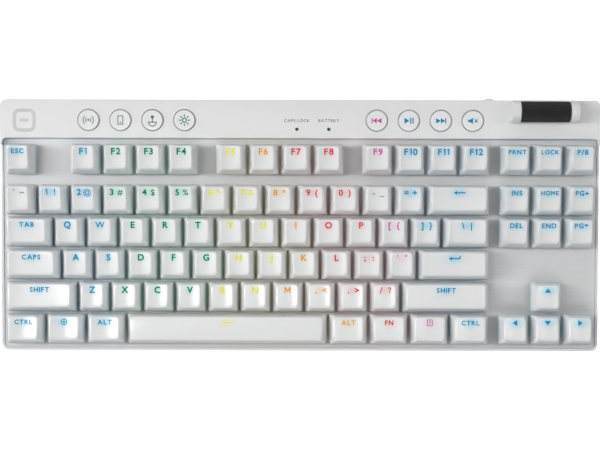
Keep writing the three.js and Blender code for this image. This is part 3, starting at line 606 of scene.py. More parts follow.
def arch(x, inset):
    """The outline of a pillar across the roller's axis."""
    radius = PILLAR_RADIUS - inset
    points = []
    for step in range(25):
        angle = math.pi * step / 24
        points.append(roller_point(x, radius, angle))
    foot = strip_here - 1.2  # a little way into the strip
    points.append(Vector((x, roller_axis.y - radius, foot)))
    points.append(Vector((x, roller_axis.y + radius, foot)))
    return points


pillars = bmesh.new()
for side in (-1, 1):
    near = roller_axis.x + side * half_trough
    rings = [arch(near + side * 0.25, 0.0), arch(near, 0.25)][::-1]
    straight = PILLAR_LENGTH - PILLAR_ROUND
    for step in range(7):
        angle = step / 6 * math.pi / 2
        reach = straight + PILLAR_ROUND * math.sin(angle)
        rings.append(arch(near + side * reach, PILLAR_ROUND * (1 - math.cos(angle))))
    loft(pillars, rings)
place_piece("roller_pillars", pillars, [case_white], "case", smooth=30)

# ------------------------------------------------------------------ switch plate
# A sheet of anodised aluminium, brushed from side to side, that every switch clips into. The
# backlight's glow is painted on it as emission where the keys shade it.

HOLE = 14
plate = block(plate_low, plate_high, deck, DECK_CORNER - SEAM)

# Every key: its block's CAD node, and its place and size in the deck frame.
UNIT = 19.05
KEY_GAP = 1.05
SLIDER_BELOW = 0.5  # how far a slider hangs below its keycap's skirt


def key_places(node, count):
    """The middle and the width of each key in a block, in the deck frame, at its skirt."""
    low, high = corners(node, deck)
    width = (high.x - low.x + KEY_GAP) / count
    middles = [low.x - KEY_GAP / 2 + (i + 0.5) * width for i in range(count)]
    y = (low.y + high.y) / 2
    return [(Vector((x, y, low.z + SLIDER_BELOW)), width - KEY_GAP) for x in middles]


# Rows from the rear: height at the middle of the top, slope of the top, and for each block its keys
# as (name, backlight colour, legend), where a legend is what is drawn from left to right.
KEY_ROWS = [
    (9.9, 8, [
        ("escape_key", [("esc", "blue", "ESC")]),
        ("function_keys_f1_to_f4",
         [("f1", "blue", "F1"), ("f2", "green", "F2"), ("f3", "green", "F3"), ("f4", "green", "F4")]),
        ("function_keys_f5_to_f8",
         [("f5", "yellow", "F5"), ("f6", "orange", "F6"), ("f7", "red", "F7"), ("f8", "red", "F8")]),
        ("function_keys_f9_to_f12",
         [("f9", "pink", "F9"), ("f10", "blue", "F10"), ("f11", "blue", "F11"), ("f12", "blue", "F12")]),
        ("print_lock_pause_keys",
         [("print", "blue", "PRNT"), ("lock", "blue", "LOCK"), ("pause", "blue", "P/B")]),
    ]),
    (9.9, 8, [
        ("number_keys_left_hand",
         [("grave", "dim", "` ~"), ("1", "blue", "1 !"), ("2", "blue", "2 @"), ("3", "green", "3 #"),
          ("4", "green", "4 $"), ("5", "green", "5 %")]),
        ("number_keys_right_hand",
         [("6", "yellow", "6 ^"), ("7", "yellow", "7 &"), ("8", "amber", "8 *"), ("9", "red", "9 ("),
          ("0", "red", "0 )"), ("minus", "dim", "- _"), ("equals", "blue", "= +")]),
        ("backspace_key", [("backspace", "blue", "<arrow")]),
        ("insert_home_page_up_keys",
         [("insert", "blue", "INS"), ("home", "blue", "HOME"), ("page_up", "blue", "PG<up")]),
    ]),
    (9.1, 5, [
        ("tab_key", [("tab", "blue", "TAB")]),
        ("upper_letters_left_hand",
         [("q", "blue", "Q"), ("w", "blue", "W"), ("e", "green", "E"), ("r", "green", "R"),
          ("t", "green", "T")]),
        ("upper_letters_right_hand",
         [("y", "yellow", "Y"), ("u", "yellow", "U"), ("i", "orange", "I"), ("o", "red", "O"),
          ("p", "red", "P"), ("left_bracket", "pink", "[ {"), ("right_bracket", "blue", "] }")]),
        ("backslash_key", [("backslash", "blue", "\\ |")]),
        ("delete_end_page_down_keys",
         [("delete", "blue", "DEL"), ("end", "blue", "END"), ("page_down", "blue", "PG<down")]),
    ]),
    (8.7, 1, [
        ("caps_lock_key", [("caps", "blue", "CAPS")]),
        ("home_letters_left_hand",
         [("a", "blue", "A"), ("s", "blue", "S"), ("d", "green", "D"), ("f", "green", "F"),
          ("g", "green", "G")]),
        ("home_letters_right_hand",
         [("h", "yellow", "H"), ("j", "yellow", "J"), ("k", "amber", "K"), ("l", "red", "L"),
          ("semicolon", "red", "; :"), ("quote", "pink", "' \"")]),
        ("enter_key", [("enter", "blue", "<return")]),
    ]),
    (8.8, -4, [
        ("left_shift_key", [("left_shift", "blue", "SHIFT")]),
        ("lower_letters_left_hand",
         [("z", "blue", "Z"), ("x", "green", "X"), ("c", "green", "C"), ("v", "green", "V"),
          ("b", "yellow", "B")]),
        ("lower_letters_right_hand",
         [("n", "yellow", "N"), ("m", "orange", "M"), ("comma", "orange", ", <"), ("period", "red", ". >"),
          ("slash", "red", "/ ?")]),
        ("right_shift_key", [("right_shift", "blue", "SHIFT")]),
        ("up_arrow_key", [("up_arrow", "blue", "<up")]),
    ]),
    (9.0, -6, [
        ("left_control_key", [("left_control", "blue", "CTRL")]),
        ("left_system_key", [("left_system", "blue", "<system")]),
        ("left_alt_key", [("left_alt", "blue", "ALT")]),
        ("space_bar", [("space_bar", "yellow", "<dash")]),
        ("right_alt_key", [("right_alt", "amber", "ALT")]),
        ("fn_key", [("fn", "red", "FN")]),
        ("menu_key", [("menu", "pink", "<menu")]),
        ("right_control_key", [("right_control", "blue", "CTRL")]),
        ("left_arrow_key", [("left_arrow", "blue", "<left")]),
        ("down_arrow_key", [("down_arrow", "blue", "<down")]),
        ("right_arrow_key", [("right_arrow", "blue", "<right")]),
    ]),
]

keys = []
for height, slope, blocks in KEY_ROWS:
    for node, members in blocks:
        for (middle, width), (name, glow, legend) in zip(key_places(node, len(members)), members):
            keys.append(
                {"node": node, "name": name, "glow": glow, "legend": legend, "middle": middle,
                 "width": width, "depth": UNIT - KEY_GAP, "height": height, "slope": slope}
            )

holes = bmesh.new()
for key in keys:
    x, y = key["middle"].x, key["middle"].y
    low = Vector((x - HOLE / 2, y - HOLE / 2, plate_low.z - 2))
    add(holes, block(low, low + Vector((HOLE, HOLE, 6)), deck))
plate = combine(plate, holes)

# Painted backlight spill: emission painted in place of the light that leaks out under the keys. Its
# colour runs through the rainbow from the left, and an occlusion mask keeps it to the shaded places.
PAINTED_SPILL_COLOURS = [
    (0.0, (0.25, 0.62, 0.95)), (0.16, (0.2, 0.7, 0.85)), (0.26, (0.2, 0.75, 0.55)),
    (0.36, (0.45, 0.8, 0.45)), (0.44, (0.9, 0.9, 0.35)), (0.5, (0.95, 0.72, 0.45)),
    (0.58, (0.95, 0.6, 0.55)), (0.66, (0.9, 0.6, 0.75)), (0.74, (0.45, 0.75, 0.95)),
    (1.0, (0.3, 0.68, 0.95)),
]
spill, start, end = shader_group(
    "painted_backlight_spill", [("Reach", FLOAT, 0.006), ("Amount", FLOAT, 0.3)], [("Color", COLOUR)]
)
where = new_node(spill, "TexCoord").outputs["Object"]
x = new_node(spill, "SeparateXYZ", {0: where}).outputs["X"]
ends = {"From Min": -deck_side * MM, "From Max": deck_side * MM}
across = new_node(spill, "MapRange", {"Value": x, **ends})
rainbow = new_node(spill, "ValToRGB", {"Fac": across.outputs["Result"]})
ramp = rainbow.color_ramp
while len(ramp.elements) < len(PAINTED_SPILL_COLOURS):
    ramp.elements.new(0.5)
for element, (position, colour) in zip(ramp.elements, PAINTED_SPILL_COLOURS):
    element.position = position
for element, (position, colour) in zip(ramp.elements, PAINTED_SPILL_COLOURS):
    element.color = (*colour, 1)
shade = new_node(spill, "AmbientOcclusion", {"Distance": start.outputs["Reach"]}, samples=6)
terms = {0: 1, 1: shade.outputs["AO"]}
covered = new_node(spill, "Math", terms, operation="SUBTRACT", use_clamp=True).outputs[0]
mask = new_node(spill, "Math", {0: covered, 1: start.outputs["Amount"]}, operation="MULTIPLY").outputs[0]
terms = {0: rainbow.outputs["Color"], "Scale": mask}
painted_glow_colour = new_node(spill, "VectorMath", terms, operation="SCALE")
feed(spill, end, {"Color": painted_glow_colour.outputs[0]})


def add_painted_backlight_glow(tree, shader, reach, amount):
    """Paints the backlight's spill onto a material as emission, in the places that the keys shade."""
    leak = new_node(tree, "Group", {"Reach": reach * MM, "Amount": amount}, node_tree=spill)
    feed(tree, shader, {"Emission Color": leak.outputs["Color"], "Emission Strength": 1})


brushed, tree, shader = new_material("brushed_aluminium")
where = new_node(tree, "TexCoord").outputs["Object"]
stretch = new_node(tree, "Mapping", {"Vector": where, "Scale": (40, 4000, 4000)}).outputs["Vector"]
strokes = new_node(tree, "TexNoise", {"Vector": stretch, "Detail": 3, "Scale": 1})
depth = {"Strength": 0.08, "Distance": 0.00003, "Height": strokes.outputs["Fac"]}
feed(tree, shader, {
    "Base Color": two_tones(tree, strokes, (0.62, 0.62, 0.625), (0.78, 0.78, 0.785)),
    "Metallic": 0.35, "Roughness": 0.55, "Normal": new_node(tree, "Bump", depth).outputs["Normal"],
})
# Painted backlight glow on the plate, in the shade of the keys.
add_painted_backlight_glow(tree, shader, 5, 0.12)
plate = round_edges(plate, 0.15, 1)
place_piece("switch_plate_sheet", plate, [brushed], "case", ["switch_plate"])

# ------------------------------------------------------------------ circuit board and switches
# A black fibreglass board carries the switches, which are soldered to it. Each switch is a dark
# housing in two halves with a window for its light, and the upper half clips into the plate.

board_low, board_high = corners("switch_board", deck)
BOARD_DROP = 5
board_black, *_ = moulded("board_black", (0.02, 0.028, 0.025), 0.35, patchiness=0.2)
# The housings and their light windows carry painted backlight glow as emission, most on the windows.
housing_black, tree, shader = moulded("housing_black", (0.03, 0.03, 0.032), 0.35)
add_painted_backlight_glow(tree, shader, 4, 0.1)
window_clear, tree, shader = moulded("window_clear", (0.5, 0.52, 0.54), 0.2)
add_painted_backlight_glow(tree, shader, 4, 0.5)
board = block(board_low, (board_high.x, board_high.y, -BOARD_DROP), deck, 2.2)
board = round_edges(board, 0.1, 1)
place_piece("circuit_board", board, [board_black], "case", ["switch_board"])

# The outline of a housing from the board up: width, depth, corner radius and height.
HOUSING = [
    (13.6, 13.6, 0.8, -BOARD_DROP + 0.05), (13.6, 13.6, 0.8, 0.1), (15.0, 15.0, 0.8, 0.15),
    (15.0, 15.0, 0.8, 0.9), (13.2, 13.6, 1.0, 1.5), (11.4, 11.6, 1.2, 5.4), (10.8, 11.0, 1.2, 5.8),
]
one_switch = bmesh.new()
loft(one_switch, [ring(width, depth, radius, 2, 0, 0, z) for width, depth, radius, z in HOUSING])
one_switch = combine(one_switch, prism(7.0, 6.8, 0.6, 0, 0.4, -0.5, 9, steps=3))
one_switch = combine(one_switch, prism(4.4, 1.6, 0.5, 0, -4.3, 3.2, 9, steps=3))
housings = bmesh.new()
windows = bmesh.new()
one_window = round_edges(prism(4.2, 1.4, 0.5, 0, -4.3, 3.3, 5.3, steps=3), 0.2, 1)
for key in keys:
    place = deck @ Matrix.Translation((key["middle"].x, key["middle"].y, 0))
    add(housings, one_switch.copy(), place)
    add(windows, one_window.copy(), place)
place_piece("switch_housings", housings, [housing_black], "case")
place_piece("light_windows", windows, [window_clear], "case")

# Stabilisers: a pair of small housings on the plate under each wide key, joined by a bent wire.
STABILISED = {"backspace": 11.9, "enter": 11.9, "left_shift": 11.9, "right_shift": 11.9, "space_bar": 50}
WIRE_RADIUS = 0.8
WIRE_HEIGHT = 1.2  # low enough to stay under the skirts of pressed keys
supports = bmesh.new()
wires = bmesh.new()
for key in keys:
    if key["name"] not in STABILISED:
        continue
    x, y, spread = key["middle"].x, key["middle"].y, STABILISED[key["name"]]
    long_way = Matrix.Translation((x, y + 6, WIRE_HEIGHT)) @ Matrix.Rotation(math.pi / 2, 4, "Y")
    add(wires, rod(WIRE_RADIUS, -spread, spread, 12, deck @ long_way))
    for side in (-1, 1):
        beside = x + side * spread
        support = round_edges(prism(5.4, 11.6, 0.6, 0, 0, 0.1, 3.2, steps=3), 0.3, 1)
        add(supports, support, deck @ Matrix.Translation((beside, y - 0.6, 0)))
        arm_way = Matrix.Translation((beside, y + 2.8, WIRE_HEIGHT)) @ Matrix.Rotation(math.pi / 2, 4, "X")
        add(wires, rod(WIRE_RADIUS, -3, 3.2, 12, deck @ arm_way))
place_piece("stabiliser_housings", supports, [housing_black], "case")
place_piece("stabiliser_wires", wires, [zinc], "case")

# ------------------------------------------------------------------ keycaps
# 87 hollow caps of white plastic, moulded in two shots so that the legends let the light through.
# Each narrows upwards, leans to the rear, and is dished from side to side, but the space bar is
# crowned. Keys that share a CAD block keep their own caps here and ride on that block's body.

SKIRT_ROUND = 1.7
TOP_ROUND = 2.3
SIDE_SLOPE = 2.85  # how far a side leans in from skirt to top
FRONT_SLOPE = 3.3
REAR_SLOPE = 1.3
RIM = 0.75  # radius of the edge round the top
DISH = 1.3
CROWN = 0.7
CAP_WALL = 1.3
POST_RADIUS = 2.7
POST_DROP = 2.5  # from the highest level of a cap down to the end of its slider
EDGE_STEP = 1.3  # between points along the straight edges of a cap
CORNER_STEPS = 5

# The caps' colour is multiplied by a vertex colour of painted backlight glow: a halo round each legend and
# a tint on the skirt near the plate.
keycap_white, tree, shader = moulded("keycap_white", (0.82, 0.822, 0.826), 0.24, 0.2, 0.1, 0.05)
painted_glow_factor = new_node(tree, "Attribute", attribute_name="glow").outputs["Color"]
plain = shader.inputs["Base Color"].links[0].from_socket
colour_with_painted_glow = new_node(tree, "VectorMath", {0: plain, 1: painted_glow_factor}, operation="MULTIPLY").outputs[0]
feed(tree, shader, {"Specular IOR Level": 1, "Base Color": colour_with_painted_glow})


def top_surface(key):
    """The height of a cap's top over its skirt, given a place from the middle of the top."""
    half_x = key["width"] / 2 - SIDE_SLOPE
    half_y = (key["depth"] - FRONT_SLOPE - REAR_SLOPE) / 2
    lean = math.tan(math.radians(key["slope"]))
    flatness = 2 if key["width"] < 1.4 * UNIT else 4

    def height(x, y):
        share = min(abs(x) / half_x, 1)
        if key["name"] == "space_bar":
            return key["height"] - 0.3 + y * lean + CROWN * (1 - (y / half_y) ** 2) - CROWN * share**8
        return key["height"] + y * lean - DISH * (1 - share**flatness)

    return height, half_x, half_y


def keycap(key):
    """One cap, its skirt at z = 0 round the origin."""
    height, top_x, top_y = top_surface(key)
    half_x, half_y = key["width"] / 2, key["depth"] / 2
    shift = (FRONT_SLOPE - REAR_SLOPE) / 2
    across = max(6, round(2 * top_x / EDGE_STEP))
    along = 8
    rings = []

    def level(share, inset, drop):
        x = half_x + (top_x - half_x) * share - inset
        y = half_y + (top_y - half_y) * share - inset
        radius = max(SKIRT_ROUND + (TOP_ROUND - SKIRT_ROUND) * share - inset * 0.8, 0.25)
        points = outline(x, y, min(radius, y), CORNER_STEPS, across, along)
        rings.append([Vector((x, y + shift * share, share * height(x, y) - drop)) for x, y in points])

    wall = CAP_WALL
    ceiling = 0.8
    inner = [
        (half_x - SIDE_SLOPE * ceiling - wall, half_y - 2.3 * ceiling - wall, ceiling),
        (half_x - wall, half_y - wall, 0),
    ]
    for x, y, share in inner:
        points = outline(x, y, 0.6, CORNER_STEPS, across, along)
        z = share * (key["height"] - 1)
        rings.append([Vector((x, y + shift * share, z)) for x, y in points])
    for share in (0, 0.04, 0.35, 0.65, 0.9):
        level(share, 0.12 if share == 0 else 0, 0)
    for step in range(5):
        angle = step / 4 * math.pi / 2
        level(1, RIM * (1 - math.cos(angle)), RIM * (1 - math.sin(angle)))
    inset = RIM
    while top_y - inset > 1.2:
        inset += 1.0
        level(1, min(inset, top_y - 0.6), 0)
    mesh = bmesh.new()
    rows = loft(mesh, rings, caps=False)
    mesh.faces.new(rows[0][::-1])
    last = rows[-1]
    corner = CORNER_STEPS + 1
    rear = last[corner - 1: corner + across]
    front = last[2 * corner + across + along - 3: 2 * corner + across + along - 3 + across + 1][::-1]
    for i in range(across):
        mesh.faces.new((rear[i], rear[i + 1], front[i + 1], front[i]))
    left = last[corner - 1 + across: 2 * corner + across + along - 2]
    right = last[2 * corner + 2 * across + along - 3:] + last[:corner]
    mesh.faces.new(left)
    mesh.faces.new(right)
    return mesh


# Legends: flat shapes drawn in millimetres, cut fine enough to follow the dish of a cap, and sunk
# into it as the second shot of the moulding is.
GLOWS = {
    "blue": (0.006, 0.27, 0.49), "green": (0.004, 0.2, 0.08), "yellow": (0.86, 0.85, 0.1),
    "amber": (0.8, 0.42, 0.06), "orange": (0.87, 0.37, 0.06), "red": (0.68, 0.045, 0.035),
    "pink": (0.62, 0.13, 0.38), "dim": (0.3, 0.3, 0.33),
}
LEGEND_PROUD = 0.02
# Painted glow in a cap's colour: how strongly the backlight's halo is painted round the legend, by colour,
# and how strongly it is painted on the skirt.
PAINTED_HALO = {
    "blue": 0.55, "green": 0.5, "yellow": 0.5, "amber": 0.4, "orange": 0.32, "red": 0.28, "pink": 0.28,
    "dim": 0.2,
}
SKIRT_PAINTED_GLOW = 0.25
LEGEND_DEPTH = 0.2
LETTER_HEIGHT = 3.75
WORD_HEIGHT = 2.85
WORD_WIDTH = 10.4  # at most, on a cap one unit wide
SYMBOL_SPREAD = 2.45
LEGEND_RISE = 3.6  # from the middle of a cap's top to the middle of its legend
CAPITAL = 0.729  # height of a capital in the built-in typeface


def lit_plastic(name, colour, strength=0.85):
    """Clear plastic that glows in one colour, a little unevenly."""
    material, tree, shader = new_material(name)
    cloud = new_node(tree, "TexNoise", {"Scale": 300})
    feed(tree, shader, {
        "Emission Color": two_tones(tree, cloud, [0.8 * part for part in colour], colour),
        "Emission Strength": strength, "Base Color": (*[0.1 * part for part in colour], 1),
        "Specular IOR Level": 0.1, "Roughness": 0.5,
    })
    return material


glow_materials = {name: lit_plastic(f"legend_{name}", colour) for name, colour in GLOWS.items()}


def glyph(character, height, boldness):
    """One letter of a plain sans-serif face, its left edge on x = 0 and its foot on y = 0."""
    mesh = bmesh.new()
    if character == "1":
        bar(mesh, 0.3, 0, 0.3, 1, 0.19)
        bar(mesh, 0.34, 0.93, 0.06, 0.74, 0.16)
    elif character in "'\"":
        for x in (0.08, 0.34)[:1 if character == "'" else 2]:
            bar(mesh, x, 1, x, 0.66, 0.15)
    elif character == "?":
        arc(mesh, 0.3, 0.73, 0.2, 190, -50, 0.15)
        bar(mesh, 0.43, 0.6, 0.31, 0.46, 0.15)
        bar(mesh, 0.31, 0.5, 0.31, 0.3, 0.15)
        dot(mesh, 0.31, 0.1, 0.1)
    elif character == "M":
        stem, middle, width = 0.17, 0.46, 0.92
        half = [(0, 1), (0, 0), (stem, 0), (stem, 0.6)]
        whole = half + [(middle, 0.12)] + [(width - x, y) for x, y in half[::-1]]
        polygon(mesh, whole + [(width - stem * 1.05, 1), (middle, 0.5), (stem * 1.05, 1)])
    else:
        curve = bpy.data.curves.new("lettering", "FONT")
        curve.body = character
        curve.offset = boldness
        curve.resolution_u = 4
        letter = bpy.data.objects.new("lettering", curve)
        scene.collection.objects.link(letter)
        graph = bpy.context.evaluated_depsgraph_get()
        shape = bpy.data.meshes.new_from_object(letter.evaluated_get(graph))
        mesh.from_mesh(shape)
        bpy.data.meshes.remove(shape)
        bpy.data.objects.remove(letter)
        bpy.data.curves.remove(curve)
        left = min(vertex.co.x for vertex in mesh.verts)
        for vertex in mesh.verts:
            vertex.co = Vector((vertex.co.x - left, vertex.co.y, 0)) / CAPITAL
    bmesh.ops.scale(mesh, verts=mesh.verts, vec=(height, height, 1))
    return mesh


def written(text, height, boldness=0.03, tracking=0.2):
    """A line of capitals of the given height, centred on the origin."""
    mesh = bmesh.new()
    pen = 0
    for character in text:
        if character == " ":
            pen += 0.55 * height
            continue
        fine = character in "@$%&#*W"
        letter = glyph(character, height, 0.012 if fine else boldness)
        advance = max(vertex.co.x for vertex in letter.verts) + tracking * height
        add(mesh, letter, Matrix.Translation((pen, 0, 0)))
        pen += advance
    width = pen - tracking * height
    bmesh.ops.translate(mesh, verts=mesh.verts, vec=(-width / 2, -height / 2, 0))
    return mesh


def polygon(mesh, points):
    """A flat face through points given anticlockwise or clockwise."""
    mesh.faces.new([mesh.verts.new((x, y, 0)) for x, y in points])


def bar(mesh, x0, y0, x1, y1, width):
    """A straight stroke between two points."""
    along = Vector((x1 - x0, y1 - y0)).normalized() * width / 2
    side = Vector((-along.y, along.x))
    polygon(mesh, [
        (x0 + side.x, y0 + side.y), (x0 - side.x, y0 - side.y),
        (x1 - side.x, y1 - side.y), (x1 + side.x, y1 + side.y),
    ])


def arc(mesh, x, y, radius, first, last, width, steps=16):
    """A curved stroke round a centre, between two angles in degrees."""
    for i in range(steps):
        a, b = [math.radians(first + (last - first) * j / steps) for j in (i, i + 1)]
        inner, outer = radius - width / 2, radius + width / 2
        polygon(mesh, [
            (x + inner * math.cos(a), y + inner * math.sin(a)),
            (x + outer * math.cos(a), y + outer * math.sin(a)),
            (x + outer * math.cos(b), y + outer * math.sin(b)),
            (x + inner * math.cos(b), y + inner * math.sin(b)),
        ])


def dot(mesh, x, y, radius, steps=16):
    """A filled circle."""
    angles = [2 * math.pi * i / steps for i in range(steps)]
    polygon(mesh, [(x + radius * math.cos(a), y + radius * math.sin(a)) for a in angles])


def sign(name):
    """A drawn legend, centred on the origin."""
    mesh = bmesh.new()
    if name == "arrow":
        polygon(mesh, [(-3.4, 0), (-1.6, 1.2), (-1.6, -1.2)])
        bar(mesh, -1.7, 0, 3.4, 0, 0.7)
    elif name == "return":
        polygon(mesh, [(-3.4, -0.4), (-1.6, 0.8), (-1.6, -1.6)])
        bar(mesh, -1.7, -0.4, 3.4, -0.4, 0.7)
        bar(mesh, 3.1, -0.4, 3.1, 1.3, 0.7)
    elif name == "up":
        polygon(mesh, [(-1.9, -1.2), (1.9, -1.2), (0, 1.3)])
    elif name == "down":
        polygon(mesh, [(-1.9, 1.2), (0, -1.3), (1.9, 1.2)])
    elif name == "left":
        polygon(mesh, [(-1.4, 0), (1.2, -1.8), (1.2, 1.8)])
    elif name == "right":
        polygon(mesh, [(1.4, 0), (-1.2, 1.8), (-1.2, -1.8)])
    elif name == "dash":
        bar(mesh, -2.8, 0, 2.8, 0, 0.5)
    elif name == "menu":
        for y in (-1.7, 1.7):
            bar(mesh, -1.5, y, 1.5, y, 0.45)
        for x in (-1.5, 1.5):
            bar(mesh, x, -1.9, x, 1.9, 0.45)
        for y in (-0.6, 0.1, 0.8):
            bar(mesh, -0.7, y, 0.7, y, 0.3)
    elif name == "system":
        arc(mesh, 0, 0, 1.6, 0, 360, 0.5, 32)
        dot(mesh, 0, 0, 0.65)
    return mesh


def legend(key):
    """The flat shapes of a key's legend round the middle of its place."""
    text = key["legend"]
    flat = bmesh.new()
    if text.startswith("PG<"):
        add(flat, written("PG", WORD_HEIGHT), Matrix.Translation((-1.5, 0, 0)))
        add(flat, sign(text[3:]), Matrix.Translation((2.6, 0, 0)) @ Matrix.Scale(0.66, 4))
    elif text.startswith("<"):
        add(flat, sign(text[1:]))
    elif " " in text:
        for side, part in zip((-SYMBOL_SPREAD, SYMBOL_SPREAD), text.split()):
            add(flat, written(part, LETTER_HEIGHT * 0.95), Matrix.Translation((side, 0, 0)))
    else:
        small = text == "FN" or (len(text) > 2 and not text.startswith("F1"))
        word = written(text, WORD_HEIGHT if small else LETTER_HEIGHT)
        reach = max(vertex.co.x for vertex in word.verts)
        narrow = key["width"] < 1.2 * UNIT and 2 * reach > WORD_WIDTH
        add(flat, word, Matrix.Scale(WORD_WIDTH / 2 / reach if narrow else 1, 4))
    return flat


def sink(flat, surface, proud=LEGEND_PROUD, depth=LEGEND_DEPTH, finest=0.7):
    """Lays flat shapes on a surface and gives them thickness into it."""
    bmesh.ops.remove_doubles(flat, verts=flat.verts, dist=0.003)
    bmesh.ops.triangulate(flat, faces=flat.faces)
    for _ in range(3):
        long_edges = [edge for edge in flat.edges if edge.calc_length() > finest]
        if not long_edges:
            break
        bmesh.ops.subdivide_edges(flat, edges=long_edges, cuts=1)
        bmesh.ops.triangulate(flat, faces=[face for face in flat.faces if len(face.verts) > 3])
    for vertex in flat.verts:
        vertex.co.z = surface(vertex.co.x, vertex.co.y) + proud
    bmesh.ops.recalc_face_normals(flat, faces=flat.faces)
    upward = sum(face.normal.z * face.calc_area() for face in flat.faces)
    if upward < 0:
        bmesh.ops.reverse_faces(flat, faces=flat.faces)
    under = bmesh.ops.extrude_face_region(flat, geom=flat.faces[:])
    lowered = [thing for thing in under["geom"] if isinstance(thing, bmesh.types.BMVert)]
    for vertex in lowered:
        vertex.co.z -= proud + depth
    return flat


def inlay(cap, signs, place):
    """Sets signs into a cap as its second material, and takes it to its place."""
    first = len(cap.faces)
    add(cap, signs)
    cap.faces.ensure_lookup_table()
    for face in cap.faces[first:]:
        face.material_index = 1
    return moved(cap, place)


slider_brown, *_ = moulded("slider_brown", (0.16, 0.1, 0.07), 0.4)
sliders = {}
for key in keys:
    cap = keycap(key)
    height, top_x, top_y = top_surface(key)
    shift = (FRONT_SLOPE - REAR_SLOPE) / 2
    signs = legend(key)
    bmesh.ops.translate(signs, verts=signs.verts, vec=(0, LEGEND_RISE, 0))
    sink(signs, height)
    bmesh.ops.translate(signs, verts=signs.verts, vec=(0, shift, 0))
    bmesh.ops.recalc_face_normals(cap, faces=cap.faces)
    # The backlight's glow, painted into the cap's colour: a halo round the legend on the top, and a tint on
    # the skirt that fades out upwards from the plate.
    glow = cap.verts.layers.float_color.new("glow")
    brightest = max(GLOWS[key["glow"]])
    missing = [1 - math.sqrt(part / brightest) for part in GLOWS[key["glow"]]]
    reach = 2.2 if len(key["legend"]) < 3 else 4.2
    for vertex in cap.verts:
        x, y, z = vertex.co
        around = math.exp(-((x / reach) ** 2) - ((y - shift - LEGEND_RISE) / 2.6) ** 2)
        painted_glow_share = PAINTED_HALO[key["glow"]] * around if z > 5 else SKIRT_PAINTED_GLOW * max(0, 1 - z / 5)
        vertex[glow] = (*[1 - painted_glow_share * part for part in missing], 1)
    place = deck @ Matrix.Translation(key["middle"])
    inlay(cap, signs, place)
    name = f"keycap_{key['name']}"
    replaced = [] if key["node"] in sliders else [key["node"]]
    finishes = [keycap_white, glow_materials[key["glow"]]]
    place_piece(name, cap, finishes, key["node"], replaced, flats=False)
    group = sliders.setdefault(key["node"], bmesh.new())
    post = rod(POST_RADIUS, 2.2, key["height"] - POST_DROP, 20, table)
    foot = round_edges(prism(5.8, 5.6, 0.5, 0, 0.4, -SLIDER_BELOW, 2.4, steps=3), 0.2, 1)
    add(group, post, place)
    add(group, foot, place)
for node, mesh in sliders.items():
    place_piece(f"{node}_sliders", mesh, [slider_brown], node)

# ------------------------------------------------------------------ round buttons
# Eight round caps of white plastic that stand a little proud of the media strip, each with its
# printed or backlit sign.

button_white, *_ = moulded("button_white", (0.8, 0.8, 0.805), 0.38, 0.2, 0.1, 0.05)
ink_grey, *_ = moulded("ink_grey", (0.12, 0.12, 0.125), 0.5)


def button_sign(name):
    """The sign of a round button, centred on the origin."""
    mesh = bmesh.new()
    if name == "wireless_button":
        for radius in (1.3, 2.5):
            for first in (-48, 132):
                arc(mesh, 0, 0, radius, first, first + 96, 0.42)
        dot(mesh, 0, 0, 0.5)
    elif name == "pairing_button":
        for x in (-1.2, 1.2):
            bar(mesh, x, -1.9, x, 1.9, 0.4)
        for y in (-2.0, 2.0):
            bar(mesh, -1.4, y, 1.4, y, 0.4)
        dot(mesh, 0, -1.2, 0.35)
    elif name == "game_mode_button":
        dot(mesh, 0, 1.5, 0.8)
        bar(mesh, 0, 1.2, 0, -1, 0.5)
        arc(mesh, 0, -1, 1.9, 180, 360, 0.45)
        bar(mesh, -2.1, -1.0, 2.1, -1.0, 0.45)
    elif name == "brightness_button":
        arc(mesh, 0, 0, 1.0, 0, 360, 0.55, 32)
        for i in range(8):
            angle = i * math.pi / 4
            c, s = math.cos(angle), math.sin(angle)
            bar(mesh, 1.7 * c, 1.7 * s, 2.7 * c, 2.7 * s, 0.55)
    elif name == "previous_track_button":
        bar(mesh, -2.3, -1.3, -2.3, 1.3, 0.5)
        polygon(mesh, [(-2.1, 0), (0, 1.3), (0, -1.3)])
        polygon(mesh, [(0, 0), (2.3, 1.3), (2.3, -1.3)])
    elif name == "play_pause_button":
        polygon(mesh, [(-2.1, 1.5), (-2.1, -1.5), (0.2, 0)])
        for x in (0.9, 2.0):
            bar(mesh, x, -1.4, x, 1.4, 0.6)
    elif name == "next_track_button":
        polygon(mesh, [(-2.3, 1.3), (-2.3, -1.3), (0, 0)])
        polygon(mesh, [(0, 1.3), (0, -1.3), (2.1, 0)])
        bar(mesh, 2.3, -1.3, 2.3, 1.3, 0.5)
    elif name == "mute_button":
        polygon(mesh, [(-2.3, 0.6), (-2.3, -0.6), (-1.3, -0.6), (0.1, -1.5), (0.1, 1.5), (-1.3, 0.6)])
        bar(mesh, 0.9, -0.8, 2.3, 0.8, 0.45)
        bar(mesh, 0.9, 0.8, 2.3, -0.8, 0.45)
    return mesh


